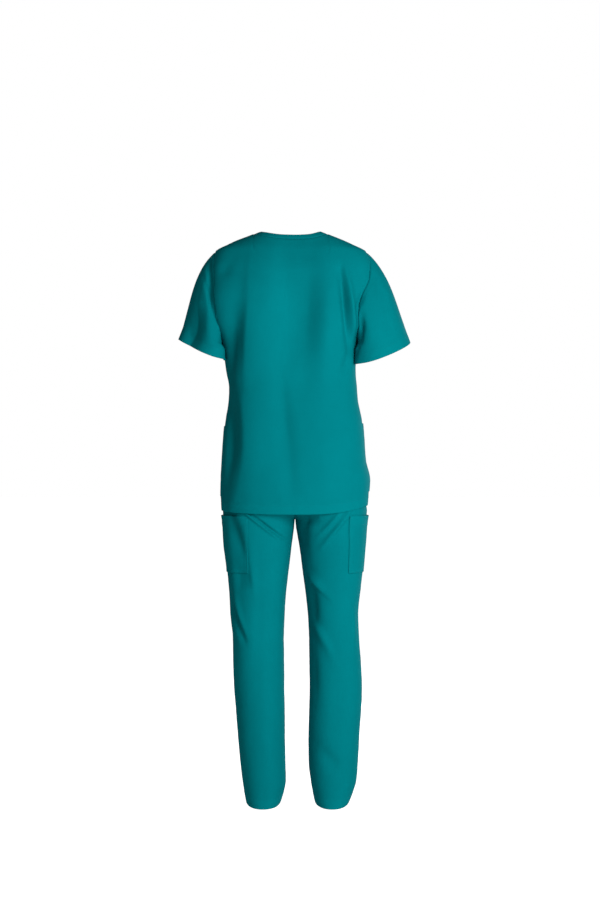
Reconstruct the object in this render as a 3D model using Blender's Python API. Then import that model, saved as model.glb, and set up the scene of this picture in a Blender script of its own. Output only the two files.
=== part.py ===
"""A set of medical scrubs as it hangs on a wearer: a V-neck top with drop-shoulder sleeves over straight
cargo trousers. Every cut piece is a wall of cloth of its own, and the whole is hollow, and open at the neck,
cuffs, waist and hems.

Heights are metres above the floor that the wearer stands on. The frame's origin is HELD_HEIGHT above it,
between the shoulders, with +Z up, the front facing -Y and the wearer's left at +X.
"""

from collections import defaultdict, namedtuple
from itertools import chain
from math import cos, exp, pi, radians, sin

import bmesh
import bpy
from mathutils import Vector

# Cloth and seams
WALL = 0.0015
SEAM_GAP = 0.0003
LEAST_MITRE = 0.6  # the sharpest crease at which a wall still keeps its whole thickness, as a cosine
SAME_POINT = 0.000001
ROUNDING = 0.000001  # slack where shares and heights are compared
SHARP_EDGE = radians(50)
CLOTH_COLOUR = (0.0, 0.212, 0.242, 1.0)
CLOTH_ROUGHNESS = 0.85
HELD_HEIGHT = 1.44

# How round the sections are: 2 is an ellipse, and more is squarer
TORSO_POWER = 2.35
LEG_POWER = 2.25

# The top's cut, as it is worn
ARMPIT_HEIGHT = 1.185
SHOULDER_TIP_HEIGHT = 1.41
TOP_HEM_BACK = 0.758
TOP_HEM_LEFT = 0.768
TOP_HEM_RIGHT = 0.778
TOP_HEM_FRONT = 0.770
HEM_ROUNDNESS = 3
VENT_HEIGHT = 0.065
VENT_SPREAD = 0.007
NECK_SHARE = 0.5  # of the shoulder's width, taken by the neck and its band
BAND_WIDTH_SHOULDER = 0.017
BACK_NECK_HEIGHT = 1.449
BACK_NECK_ROUNDNESS = 2.4
BACK_BAND_DROP = 0.0105
V_HEIGHT = 1.290
V_BAND_DROP = 0.048

# The trousers' cut
CROTCH_HEIGHT = 0.742
WAIST_HEIGHT = 1.030
WAISTBAND = 0.040
TROUSER_HEM_BACK = 0.033
TROUSER_HEM_FRONT = 0.058
HEM_TILT_HEIGHT = 0.10
HEM_SQUARENESS = 0.7

# Patch pockets, each between rows and columns of the panel that carries it
POCKET_GAPE = 0.003
CARGO_TOP_HEIGHT = 0.753
CARGO_BOTTOM_HEIGHT = 0.612
CARGO_COLUMNS_BEHIND = {"left": 6, "right": 5}  # the left leg's cloth has turned a little to the back
CARGO_COLUMNS_AHEAD = {"left": 3, "right": 4}
FRONT_POCKET_HEIGHTS = (0.815, 0.985)
FRONT_POCKET_COLUMNS = 9

# Faces of the grids
NECK_COLUMNS = 5
SHOULDER_COLUMNS = 8
BODY_ROWS = 12
ARMHOLE_ROWS = 10
NECK_TURN = radians(70)
SHOULDER_TURN = radians(27)
SLEEVE_ROWS = 8
BAND_ROWS = 2
LEG_COLUMNS = 14
LegRows = namedtuple("LegRows", "up_to rows")
LEG_ROWS = (
    LegRows(0.130, 3),
    LegRows(0.420, 6),
    LegRows(CARGO_BOTTOM_HEIGHT, 7),
    LegRows(CROTCH_HEIGHT, 5),
    LegRows(CARGO_TOP_HEIGHT, 1),
    LegRows(WAIST_HEIGHT - WAISTBAND, 6),
)

# The top's body at each height: how far its left and right sides reach from the middle plane, where its middle
# is, how far back and forward it comes, and where the side seams run. From the armpit up, its sides lie inside
# the sleeves.
Torso = namedtuple("Torso", "height left right middle back front seam")
TORSO = (
    Torso(0.750, 0.1815, 0.1785, 0.000, 0.134, -0.129, 0.002),
    Torso(0.800, 0.1850, 0.1830, 0.000, 0.134, -0.129, 0.002),
    Torso(0.840, 0.1840, 0.1860, 0.000, 0.132, -0.128, 0.002),
    Torso(0.890, 0.1815, 0.1755, 0.002, 0.128, -0.126, 0.002),
    Torso(0.940, 0.1780, 0.1720, 0.003, 0.124, -0.124, 0.002),
    Torso(0.990, 0.1725, 0.1670, 0.004, 0.119, -0.122, 0.002),
    Torso(1.040, 0.1655, 0.1570, 0.006, 0.116, -0.121, 0.002),
    Torso(1.070, 0.1645, 0.1545, 0.008, 0.116, -0.121, 0.002),
    Torso(1.115, 0.1720, 0.1515, 0.010, 0.118, -0.122, 0.002),
    Torso(1.185, 0.1820, 0.1570, 0.010, 0.122, -0.122, 0.002),
    Torso(1.240, 0.2070, 0.1850, 0.010, 0.124, -0.119, 0.001),
    Torso(1.300, 0.2200, 0.2010, 0.010, 0.122, -0.111, 0.000),
    Torso(1.360, 0.2160, 0.1990, 0.010, 0.110, -0.095, -0.002),
    Torso(1.410, 0.2000, 0.1780, 0.010, 0.089, -0.075, -0.004),
    Torso(1.430, 0.1630, 0.1400, 0.010, 0.076, -0.063, -0.005),
    Torso(1.4535, 0.1050, 0.0850, 0.010, 0.056, -0.046, -0.006),
    Torso(1.460, 0.0880, 0.0680, 0.010, 0.047, -0.040, -0.006),
)

# Where the armhole seams run, from the armpit to the shoulder's tip
Armhole = namedtuple("Armhole", "height back_left back_right front_left front_right")
ARMHOLE = (
    Armhole(1.185, 0.182, 0.157, 0.182, 0.157),
    Armhole(1.220, 0.186, 0.155, 0.176, 0.152),
    Armhole(1.260, 0.191, 0.157, 0.172, 0.150),
    Armhole(1.300, 0.195, 0.169, 0.174, 0.153),
    Armhole(1.340, 0.198, 0.184, 0.182, 0.162),
    Armhole(1.380, 0.200, 0.187, 0.193, 0.174),
    Armhole(1.410, 0.200, 0.178, 0.200, 0.178),
)

# A sleeve's hem is an oval ring: where it lies outermost and innermost, how far its back and front stand off,
# and how much lower the back hangs
Cuff = namedtuple("Cuff", "outer_x outer_height inner_x inner_y inner_height half_depth back_drop")
CUFFS = {
    "left": Cuff(0.2915, 1.192, 0.1775, 0.028, 1.1320, 0.071, 0.007),
    "right": Cuff(0.2885, 1.184, 0.1545, 0.028, 1.1300, 0.071, 0.013),
}
SLEEVE_SLOPE = Vector((0.62, 0.0, -0.78))  # the way out along the sleeve where it leaves the armhole
SLEEVE_TOP = Vector((0.78, 0.0, 0.62))  # square to it, towards the sleeve's top
CUFF_SLOPE = Vector((0.38, 0.0, -0.925))
SLEEVE_CAP_LIFT = 0.20

# The trousers at each height: each leg's outer and inner side, how far apart the legs are, how far they come
# back and forward, and where the side seams and inseams run. Apart is 1 up to the crotch, above which the
# middle plane cuts the legs' sections off, and 0 where they share one section.
Leg = namedtuple("Leg", "height left left_inner right right_inner apart back front seam")
LEG = (
    Leg(0.033, 0.1215, 0.0365, 0.1335, 0.0505, 1.00, 0.086, -0.080, 0.004),
    Leg(0.060, 0.1265, 0.0285, 0.1440, 0.0450, 1.00, 0.081, -0.077, 0.004),
    Leg(0.090, 0.1310, 0.0225, 0.1530, 0.0395, 1.00, 0.078, -0.074, 0.003),
    Leg(0.145, 0.1375, 0.0240, 0.1575, 0.0340, 1.00, 0.076, -0.072, 0.002),
    Leg(0.205, 0.1425, 0.0250, 0.1605, 0.0335, 1.00, 0.075, -0.072, 0.001),
    Leg(0.265, 0.1475, 0.0255, 0.1650, 0.0350, 1.00, 0.074, -0.074, 0.000),
    Leg(0.325, 0.1520, 0.0270, 0.1675, 0.0365, 1.00, 0.072, -0.077, -0.002),
    Leg(0.385, 0.1545, 0.0275, 0.1650, 0.0355, 1.00, 0.070, -0.080, -0.003),
    Leg(0.445, 0.1560, 0.0275, 0.1605, 0.0350, 1.00, 0.070, -0.083, -0.004),
    Leg(0.505, 0.1620, 0.0255, 0.1580, 0.0320, 1.00, 0.074, -0.086, -0.004),
    Leg(0.565, 0.1655, 0.0215, 0.1640, 0.0255, 1.00, 0.081, -0.089, -0.003),
    Leg(0.625, 0.1700, 0.0150, 0.1705, 0.0175, 1.00, 0.090, -0.093, -0.001),
    Leg(0.685, 0.1770, 0.0075, 0.1750, 0.0095, 1.00, 0.101, -0.097, 0.000),
    Leg(0.742, 0.1785, 0.0008, 0.1775, 0.0008, 1.00, 0.110, -0.100, 0.002),
    Leg(0.765, 0.1740, 0.0008, 0.1720, 0.0008, 0.66, 0.112, -0.102, 0.002),
    Leg(0.800, 0.1700, 0.0008, 0.1680, 0.0008, 0.28, 0.114, -0.104, 0.002),
    Leg(0.850, 0.1660, 0.0008, 0.1640, 0.0008, 0.00, 0.115, -0.106, 0.002),
    Leg(0.915, 0.1580, 0.0008, 0.1560, 0.0008, 0.00, 0.111, -0.107, 0.001),
    Leg(0.990, 0.1480, 0.0008, 0.1440, 0.0008, 0.00, 0.100, -0.104, 0.000),
    Leg(1.030, 0.1420, 0.0008, 0.1380, 0.0008, 0.00, 0.096, -0.101, 0.000),
)

# Folds are soft ridges, and troughs where depth is under nought, along a line seen from behind (facing 1) or in
# front (-1). bow is how far the line curves aside at its middle.
FOLD_TURN = 1.6  # how soon a fold fades where the cloth turns away from the side it is seen from
FOLD_FADE = 2.5  # how far it runs on past its ends, in its own widths
FOLD_END_DEPTH = 0.35  # its depth at the ends, as a share of that in the middle
Fold = namedtuple("Fold", "facing x height x_end height_end bow width depth")
TOP_FOLDS = (
    # down the back: the hollow along the spine, and the drapes beside it
    Fold(1, -0.035, 1.370, -0.005, 0.900, 0.000, 0.034, -0.0075),
    Fold(1, 0.075, 1.330, 0.060, 0.880, 0.000, 0.042, 0.0060),
    Fold(1, -0.110, 1.330, -0.085, 1.080, 0.000, 0.032, 0.0060),
    Fold(1, 0.122, 1.270, 0.138, 0.850, 0.010, 0.022, -0.0085),
    Fold(1, 0.158, 1.120, 0.166, 0.840, 0.000, 0.016, 0.0045),
    Fold(1, -0.130, 1.350, -0.140, 1.220, 0.004, 0.013, -0.0075),
    Fold(1, -0.116, 1.090, -0.150, 1.180, 0.000, 0.018, -0.0060),
    Fold(1, -0.060, 0.930, -0.078, 0.780, 0.000, 0.030, 0.0045),
    Fold(1, 0.020, 0.900, 0.012, 0.770, 0.000, 0.028, -0.0035),
    Fold(1, 0.165, 1.370, 0.118, 1.280, 0.000, 0.016, -0.0035),
    # on the sleeves
    Fold(1, 0.236, 1.330, 0.205, 1.235, 0.003, 0.013, 0.0045),
    Fold(1, 0.216, 1.300, 0.214, 1.160, -0.004, 0.014, -0.0075),
    Fold(1, -0.172, 1.300, -0.166, 1.160, 0.006, 0.014, -0.0080),
    Fold(1, -0.199, 1.340, -0.182, 1.280, 0.000, 0.013, -0.0040),
    Fold(1, -0.238, 1.300, -0.242, 1.180, 0.000, 0.018, 0.0035),
    # down the front
    Fold(-1, 0.085, 1.250, 0.092, 0.880, 0.000, 0.032, 0.0060),
    Fold(-1, -0.070, 1.250, -0.078, 0.860, 0.000, 0.030, 0.0055),
    Fold(-1, 0.012, 1.180, 0.000, 0.800, 0.000, 0.038, -0.0065),
    Fold(-1, 0.130, 1.310, 0.150, 1.130, -0.006, 0.015, -0.0070),
    Fold(-1, -0.112, 1.300, -0.130, 1.120, 0.006, 0.015, -0.0070),
    Fold(-1, 0.222, 1.300, 0.215, 1.170, 0.000, 0.015, -0.0060),
    Fold(-1, -0.203, 1.300, -0.197, 1.170, 0.000, 0.015, -0.0060),
)
TROUSER_FOLDS = (
    # left leg, behind: the pinch under the seat, the side's hollow and the long crease over the knee
    Fold(1, 0.118, 0.752, 0.035, 0.705, 0.000, 0.013, 0.0060),
    Fold(1, 0.122, 0.725, 0.050, 0.680, 0.000, 0.013, -0.0050),
    Fold(1, 0.158, 0.740, 0.118, 0.640, 0.004, 0.018, -0.0060),
    Fold(1, 0.128, 0.650, 0.100, 0.560, 0.004, 0.018, 0.0045),
    Fold(1, 0.158, 0.585, 0.118, 0.455, -0.006, 0.016, -0.0100),
    Fold(1, 0.088, 0.420, 0.080, 0.120, 0.000, 0.022, 0.0035),
    Fold(1, 0.055, 0.230, 0.112, 0.150, 0.000, 0.020, -0.0035),
    # right leg, behind
    Fold(1, -0.132, 0.745, -0.078, 0.690, 0.000, 0.015, -0.0040),
    Fold(1, -0.030, 0.720, -0.022, 0.620, 0.000, 0.016, -0.0070),
    Fold(1, -0.025, 0.610, -0.066, 0.560, 0.000, 0.014, 0.0055),
    Fold(1, -0.042, 0.560, -0.058, 0.440, 0.000, 0.016, -0.0070),
    Fold(1, -0.035, 0.480, -0.088, 0.415, 0.004, 0.015, -0.0060),
    Fold(1, -0.145, 0.530, -0.150, 0.420, 0.000, 0.014, 0.0045),
    Fold(1, -0.100, 0.400, -0.100, 0.120, 0.000, 0.022, 0.0035),
    Fold(1, -0.055, 0.180, -0.125, 0.120, 0.000, 0.020, -0.0040),
    # both legs, in front
    Fold(-1, 0.015, 0.745, 0.120, 0.690, 0.000, 0.015, -0.0060),
    Fold(-1, -0.015, 0.745, -0.120, 0.685, 0.000, 0.015, -0.0060),
    Fold(-1, 0.142, 0.505, 0.060, 0.455, 0.000, 0.016, -0.0060),
    Fold(-1, -0.142, 0.515, -0.060, 0.462, 0.000, 0.016, -0.0060),
    Fold(-1, 0.048, 0.180, 0.125, 0.125, 0.000, 0.016, -0.0075),
    Fold(-1, -0.058, 0.190, -0.135, 0.130, 0.000, 0.016, -0.0075),
)


def in_frame(x, y, height):
    return Vector((x, y, height - HELD_HEIGHT))


def chord(table, column, row):
    """The slope of a column from one row to the next."""
    low, high = table[row], table[row + 1]
    return (getattr(high, column) - getattr(low, column)) / (high.height - low.height)


def slope(table, column, row):
    """The slope of the smooth curve at a row, nought where the column turns, so that it never overshoots."""
    if row == 0:
        return chord(table, column, 0)
    if row == len(table) - 1:
        return chord(table, column, row - 1)
    before, after = chord(table, column, row - 1), chord(table, column, row)
    return 0.0 if before * after <= 0 else 2 * before * after / (before + after)


def reading(table, column, height):
    """A column's value at a height, on a smooth curve through the table's rows."""
    height = min(max(height, table[0].height), table[-1].height)
    row = max(i for i in range(len(table) - 1) if i == 0 or table[i].height <= height)
    span = table[row + 1].height - table[row].height
    t = (height - table[row].height) / span
    start, end = getattr(table[row], column), getattr(table[row + 1], column)
    rise = (t**3 - 2 * t**2 + t) * slope(table, column, row) + (t**3 - t**2) * slope(table, column, row + 1)
    return start + (end - start) * t * t * (3 - 2 * t) + rise * span


def torso_side(x, height):
    """How far out x is on the body's section at a height, from 0 at its middle to 1 at its side."""
    middle = reading(TORSO, "middle", height)
    if x >= middle:
        return (x - middle) / (reading(TORSO, "left", height) - middle)
    return (middle - x) / (reading(TORSO, "right", height) + middle)


def torso_point(x, height, facing):
    """The point of the body's back (facing 1) or front (-1) that is seen at x and height."""
    seam = reading(TORSO, "seam", height)
    reach = reading(TORSO, "back" if facing > 0 else "front", height) - seam
    out = min(torso_side(x, height), 1.0)
    return in_frame(x, seam + reach * (1 - out**TORSO_POWER) ** (1 / TORSO_POWER), height)


def shoulder_height(x):
    """The height of the shoulder line over x, where the body's section has shrunk to reach just that far."""
    low, high = SHOULDER_TIP_HEIGHT, TORSO[-1].height
    while high - low > SAME_POINT / 10:
        trial = (low + high) / 2
        if torso_side(x, trial) < 1:
            low = trial
        else:
            high = trial
    return low


def body_columns():
    """Shares of the half width, from one side over the middle to the other: the neck's columns, and the
    shoulders', closer together towards the sides, where the cloth turns away."""
    neck = [NECK_SHARE * sin(NECK_TURN * i / NECK_COLUMNS) / sin(NECK_TURN) for i in range(NECK_COLUMNS)]
    shoulder = []
    for i in range(SHOULDER_COLUMNS + 1):
        angle = SHOULDER_TURN + (pi / 2 - SHOULDER_TURN) * i / SHOULDER_COLUMNS
        out, first = (sin(turn) ** (2 / TORSO_POWER) for turn in (angle, SHOULDER_TURN))
        shoulder.append(NECK_SHARE + (1 - NECK_SHARE) * (out - first) / (1 - first))
    half = neck + shoulder
    return [-share for share in half[:0:-1]] + half


def column_heights(low, top):
    """Heights of a column's rows: level up to the armpit, then closer together at the ends, up to its top."""
    heights = [low + (ARMPIT_HEIGHT - low) * i / BODY_ROWS for i in range(BODY_ROWS)]
    for i in range(ARMHOLE_ROWS + 1):
        heights.append(ARMPIT_HEIGHT + (top - ARMPIT_HEIGHT) * (1 - cos(pi * i / ARMHOLE_ROWS)) / 2)
    return heights


def edge_x(height, facing, hand):
    """How far out the side seam or the armhole seam runs. hand is 1 on the wearer's left, -1 on the right."""
    side = "left" if hand > 0 else "right"
    if height <= ARMPIT_HEIGHT:
        return hand * reading(TORSO, side, height)
    return hand * reading(ARMHOLE, ("back_" if facing > 0 else "front_") + side, height)


def neck_corner(hand, on_seam):
    """x of the neck's corner on the shoulder, at the neck's edge or on the seam of its band."""
    middle, tip = reading(TORSO, "middle", SHOULDER_TIP_HEIGHT), edge_x(SHOULDER_TIP_HEIGHT, 1, hand)
    seam = middle + NECK_SHARE * (tip - middle)
    return seam if on_seam else seam - hand * BAND_WIDTH_SHOULDER


def neckline(share, facing, on_seam):
    """(x, height) on the neck's edge, or on the seam of its band, at a share of the half width, -1 to 1."""
    middle = reading(TORSO, "middle", SHOULDER_TIP_HEIGHT)
    corner = neck_corner(1 if share >= 0 else -1, on_seam)
    out = abs(share) / NECK_SHARE
    top = shoulder_height(corner)
    if facing > 0:
        low = BACK_NECK_HEIGHT - (BACK_BAND_DROP if on_seam else 0.0)
        height = low + (top - low) * out**BACK_NECK_ROUNDNESS
    else:
        low = V_HEIGHT - (V_BAND_DROP if on_seam else 0.0)
        height = low + (top - low) * out
    return middle + (corner - middle) * out, height


def top_edge(share, facing):
    """(x, height) where a body panel ends above: on the neckband's seam, or further out on the shoulder's."""
    if abs(share) < NECK_SHARE - ROUNDING:
        return neckline(share, facing, on_seam=True)
    hand = 1 if share >= 0 else -1
    middle = reading(TORSO, "middle", SHOULDER_TIP_HEIGHT)
    x = middle + abs(share) * (edge_x(SHOULDER_TIP_HEIGHT, facing, hand) - middle)
    return x, shoulder_height(x)


def hem_height(share, facing):
    side = TOP_HEM_LEFT if share >= 0 else TOP_HEM_RIGHT
    middle = TOP_HEM_BACK if facing > 0 else TOP_HEM_FRONT
    return middle + (side - middle) * abs(share) ** HEM_ROUNDNESS


def body_grid(facing):
    """The back or front of the top, row by row from the hem, each row going round anticlockwise from above."""
    columns = [body_column(share * facing, facing) for share in body_columns()]
    return [list(row)[::-1] for row in zip(*columns)]


def body_column(share, facing):
    """One column of a body panel, from the hem up to the neckband's seam, the shoulder seam or its tip."""
    hand = 1 if share >= 0 else -1
    top_x, top_height = top_edge(share, facing)
    side_heights = column_heights(TOP_HEM_LEFT if hand > 0 else TOP_HEM_RIGHT, SHOULDER_TIP_HEIGHT)
    column = []
    for height, side_height in zip(column_heights(hem_height(share, facing), top_height), side_heights):
        middle = reading(TORSO, "middle", height)
        x = middle + abs(share) * (edge_x(side_height, facing, hand) - middle)
        if abs(share) > 1 - ROUNDING and height < ARMPIT_HEIGHT + ROUNDING:
            column.append(side_seam_point(x, height, facing))
        else:
            column.append(torso_point(x, height, facing))
    if abs(share) > NECK_SHARE - ROUNDING:
        column[-1] = in_frame(top_x, reading(TORSO, "seam", top_height), top_height)
    return column


def side_seam_point(x, height, facing):
    """A point on the side seam. Below the vent's top the back and front part."""
    hem = TOP_HEM_LEFT if x > 0 else TOP_HEM_RIGHT
    parting = VENT_SPREAD * max(0.0, 1 - (height - hem) / VENT_HEIGHT) ** 2
    return in_frame(x, reading(TORSO, "seam", height) + facing * parting, height)


def hermite(start, start_pull, end, end_pull, t):
    return (
        start * (2 * t**3 - 3 * t**2 + 1)
        + start_pull * (t**3 - 2 * t**2 + t)
        + end * (3 * t**2 - 2 * t**3)
        + end_pull * (t**3 - t**2)
    )


def lengths_along(line):
    """How far along a line each of its points is, from 0 to 1."""
    lengths = [0.0]
    for before, after in zip(line, line[1:]):
        lengths.append(lengths[-1] + (after - before).length)
    return [length / lengths[-1] for length in lengths]


def sleeve_grid(hand, back, front):
    """A sleeve, row by row from its hem to the armhole, closed round. back and front are the body's grids."""
    # the back's rows run from the wearer's left to the right, and the front's from the right to the left
    back_edge, front_edge = (0, -1) if hand > 0 else (-1, 0)
    back_columns = sleeve_columns(hand, 1, [row[back_edge] for row in back[BODY_ROWS:]])
    front_columns = sleeve_columns(hand, -1, [row[front_edge] for row in front[BODY_ROWS:]])
    first, second = (front_columns, back_columns) if hand > 0 else (back_columns, front_columns)
    return [list(row) for row in zip(*(first + second[-2::-1]))]


def sleeve_columns(hand, facing, hole):
    """Half of a sleeve's columns, from the hem to the points of its half of the armhole, armpit first."""
    cuff = CUFFS["left" if hand > 0 else "right"]
    mirror = Vector((hand, 1.0, 1.0))
    outermost = in_frame(hand * cuff.outer_x, 0.0, cuff.outer_height)
    innermost = in_frame(hand * cuff.inner_x, cuff.inner_y, cuff.inner_height)
    middle, away = (outermost + innermost) / 2, (outermost - innermost) / 2
    aside = Vector((0.0, cuff.half_depth, -cuff.back_drop)) * facing
    columns = []
    for point, up in zip(hole, lengths_along(hole)):
        turn = pi * (1 - up)  # from half a turn at the armpit to none at the shoulder
        hem_point = middle + away * cos(turn) + aside * sin(turn)
        outward = SLEEVE_TOP * cos(turn) + Vector((0.0, facing * sin(turn), 0.0))
        reach = (hem_point - point).length
        pull = (SLEEVE_SLOPE + outward * SLEEVE_CAP_LIFT * (1 + cos(turn)) / 2) * mirror * reach
        hem_pull = CUFF_SLOPE * mirror * reach
        steps = [i / SLEEVE_ROWS for i in range(SLEEVE_ROWS + 1)]
        columns.append([hermite(hem_point, -hem_pull, point, -pull, step) for step in steps])
    return columns


def neckband_grid():
    """The band, row by row from its seam to the neck's edge, closed round from the left shoulder."""
    shares = [share for share in body_columns() if abs(share) < NECK_SHARE + ROUNDING]
    around = [(share, 1) for share in shares[::-1]] + [(share, -1) for share in shares[1:]]
    grid = []
    for i in range(BAND_ROWS + 1):
        row = []
        for share, facing in around:
            (x, height), (edge, edge_height) = neckline(share, facing, True), neckline(share, facing, False)
            x += (edge - x) * i / BAND_ROWS
            height += (edge_height - height) * i / BAND_ROWS
            if abs(share) > NECK_SHARE - ROUNDING:
                height = shoulder_height(x)
                row.append(in_frame(x, reading(TORSO, "seam", height), height))
            else:
                row.append(torso_point(x, height, facing))
        grid.append(row)
    return grid


def leg_heights():
    """Heights of the trousers' rows, with rows on the pockets' edges and at the crotch."""
    heights = [TROUSER_HEM_BACK]
    for top, count in LEG_ROWS:
        low = heights[-1]
        heights += [low + (top - low) * (i + 1) / count for i in range(count)]
    return heights


def leg_point(height, hand, facing, t):
    """A point on a trouser leg's back or front, at t from its inseam or rise (0) to its side seam (1)."""
    side = "left" if hand > 0 else "right"
    outer, apart = reading(LEG, side, height), reading(LEG, "apart", height)
    inner = reading(LEG, side + "_inner", height) if apart == 1 else outer * (apart - 1) / (apart + 1)
    middle, half = (outer + inner) / 2, (outer - inner) / 2
    turn = cos(pi * (1 - t))
    across = (1 if turn > 0 else -1) * abs(turn) ** (2 / LEG_POWER)
    if apart < 1:  # the columns keep their share of the way out from the middle plane
        across = (outer * (1 + across) / 2 - middle) / half
    seam = reading(LEG, "seam", height)
    reach = reading(LEG, "back" if facing > 0 else "front", height) - seam
    round_off = max(0.0, 1 - abs(across) ** LEG_POWER) ** (1 / LEG_POWER)
    return in_frame(hand * (middle + half * across), seam + reach * round_off, height)


def leg_grid(hand, facing):
    """One of the four trouser panels, row by row from the hem, each row anticlockwise from above."""
    grid = []
    for height in leg_heights():
        near_hem = max(0.0, 1 - (height - TROUSER_HEM_BACK) / HEM_TILT_HEIGHT)
        tilt = (TROUSER_HEM_FRONT - TROUSER_HEM_BACK) * near_hem
        row = []
        for i in range(LEG_COLUMNS + 1):
            t = i / LEG_COLUMNS
            forward = 0.5 - 0.5 * facing * sin(pi * t) ** HEM_SQUARENESS
            row.append(leg_point(height + tilt * forward, hand, facing, t))
        grid.append(row if hand * facing < 0 else row[::-1])
    return grid


def waistband_grid():
    """The elastic casing round the waist, closed, anticlockwise from above."""
    grid = []
    low = WAIST_HEIGHT - WAISTBAND
    for height in (low, low + WAISTBAND / 2, WAIST_HEIGHT):
        row = []
        for hand, facing in ((1, 1), (-1, 1), (-1, -1), (1, -1)):
            part = [leg_point(height, hand, facing, i / LEG_COLUMNS) for i in range(LEG_COLUMNS + 1)]
            row += (part[::-1] if hand * facing > 0 else part)[:-1]
        row.append(row[0])
        grid.append(row)
    return grid


def grid_normals(grids):
    """A normal for every point of every grid, shared where grids meet, so that both sides of a seam agree. It
    is longer than 1 where faces meet at an angle, so that a wall that follows it keeps its thickness."""
    totals, turns = defaultdict(Vector), defaultdict(float)
    for grid in grids.values():
        for low, high in zip(grid, grid[1:]):
            for i in range(len(low) - 1):
                corners = (low[i], low[i + 1], high[i + 1], high[i])
                for k, here in enumerate(corners):
                    ahead, behind = corners[(k + 1) % 4] - here, corners[k - 1] - here
                    turn = ahead.angle(behind)
                    totals[key(here)] += ahead.cross(behind).normalized() * turn
                    turns[key(here)] += turn
    mitred = {}
    for point, total in totals.items():
        mitred[point] = total.normalized() / max(LEAST_MITRE, total.length / turns[point])
    return {name: [[mitred[key(point)] for point in row] for row in grid] for name, grid in grids.items()}


def key(point):
    """A point as something to look up, to a thousandth of a millimetre."""
    return tuple(round(value, 6) for value in point)


def fold_depth(point, normal, folds):
    """How far the folds move a point along its normal."""
    total = 0.0
    for fold in folds:
        turned = min(max(normal.y * fold.facing * FOLD_TURN, 0.0), 1.0)
        run_x, run_z = fold.x_end - fold.x, fold.height_end - fold.height
        length = (run_x * run_x + run_z * run_z) ** 0.5
        dx, dz = point.x - fold.x, point.z + HELD_HEIGHT - fold.height
        along = (dx * run_x + dz * run_z) / length**2
        aside = (dx * run_z - dz * run_x) / length - fold.bow * 4 * along * (1 - along)
        beyond = max(-along, along - 1, 0.0) * length
        fade = exp(-((beyond / (FOLD_FADE * fold.width)) ** 2))
        swell = FOLD_END_DEPTH + (1 - FOLD_END_DEPTH) * sin(pi * min(max(along, 0.0), 1.0))
        total += fold.depth * turned * swell * fade * exp(-((aside / fold.width) ** 2))
    return total


def moved_out(grid, normals, distance):
    """A grid with each point moved along its normal by what distance(point, unit normal) says."""
    moved = []
    for row, row_normals in zip(grid, normals):
        units = [normal.normalized() for normal in row_normals]
        moved.append([point + unit * distance(point, unit) for point, unit in zip(row, units)])
    return moved


def folded(grids, folds):
    """The grids with their folds in, and the normals that go with them."""
    normals = grid_normals(grids)

    def depth(point, normal):
        return fold_depth(point, normal, folds)

    moved = {name: moved_out(grid, normals[name], depth) for name, grid in grids.items()}
    return moved, grid_normals(moved)


def seam_steps(line, beside, closed):
    """How each point of an edge moves into the cloth, square to the edge, by half the seam gap."""
    last = len(line) - 1
    steps = []
    for i, point in enumerate(line):
        if closed:
            before, after = line[(i - 1) % last], line[(i + 1) % last]
        else:
            before, after = line[max(i - 1, 0)], line[min(i + 1, last)]
        along = (after - before).normalized()
        step = beside[i] - point
        step -= along * step.dot(along)
        steps.append(step.normalized() * SEAM_GAP / 2)
    return steps


def drawn_in(outer, inner, closed):
    """Both faces of a wall with their edges drawn in, so that seams keep their gap."""
    moved_outer, moved_inner = [list(row) for row in outer], [list(row) for row in inner]
    for edge, beside in ((0, 1), (-1, -2)):
        for j, step in enumerate(seam_steps(outer[edge], outer[beside], closed)):
            moved_outer[edge][j] = moved_outer[edge][j] + step
            moved_inner[edge][j] = moved_inner[edge][j] + step
        if not closed:
            line, next_line = [row[edge] for row in outer], [row[beside] for row in outer]
            for i, step in enumerate(seam_steps(line, next_line, closed)):
                moved_outer[i][edge] = moved_outer[i][edge] + step
                moved_inner[i][edge] = moved_inner[i][edge] + step
    return moved_outer, moved_inner


def on_own_side(rows, hand):
    """A leg's points, kept half a seam gap clear of the middle plane."""
    least = SEAM_GAP / 2
    return [[Vector((hand * max(hand * p.x, least), p.y, p.z)) for p in row] for row in rows]


def cloth_solid(name, outer, inner, closed=False):
    """One closed wall of cloth: a grid set on the outer points, then extruded to the inner ones. Quads are
    split alike on every piece, and seam walls by their shorter diagonal, so that neighbours never cross."""
    mesh = bmesh.new()
    bmesh.ops.create_grid(mesh, x_segments=len(outer[0]) - 1, y_segments=len(outer) - 1, size=1.0)
    inner_of = {}
    for vertex, point, inside in zip(mesh.verts, chain(*outer), chain(*inner)):
        vertex.co = point
        inner_of[key(vertex.co)] = inside
    if closed:
        bmesh.ops.remove_doubles(mesh, verts=mesh.verts[:], dist=SAME_POINT)
    bmesh.ops.triangulate(mesh, faces=mesh.faces[:], quad_method="FIXED")
    made = bmesh.ops.extrude_face_region(mesh, geom=mesh.faces[:], use_keep_orig=True)
    for item in made["geom"]:
        if isinstance(item, bmesh.types.BMVert):
            item.co = inner_of[key(item.co)]
    bmesh.ops.triangulate(mesh, faces=mesh.faces[:], quad_method="SHORT_EDGE")
    bmesh.ops.recalc_face_normals(mesh, faces=mesh.faces[:])
    if mesh.calc_volume(signed=True) < 0:
        bmesh.ops.reverse_faces(mesh, faces=mesh.faces[:])
    data = bpy.data.meshes.new(name)
    mesh.to_mesh(data)
    mesh.free()
    data.shade_smooth()
    data.set_sharp_from_angle(angle=SHARP_EDGE)
    data.materials.append(cloth_material(name))
    bpy.context.scene.collection.objects.link(bpy.data.objects.new(name, data))


def wall(grid, normals):
    """The inner face that belongs to an outer one."""
    return [[p - n * WALL for p, n in zip(row, row_normals)] for row, row_normals in zip(grid, normals)]


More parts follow.
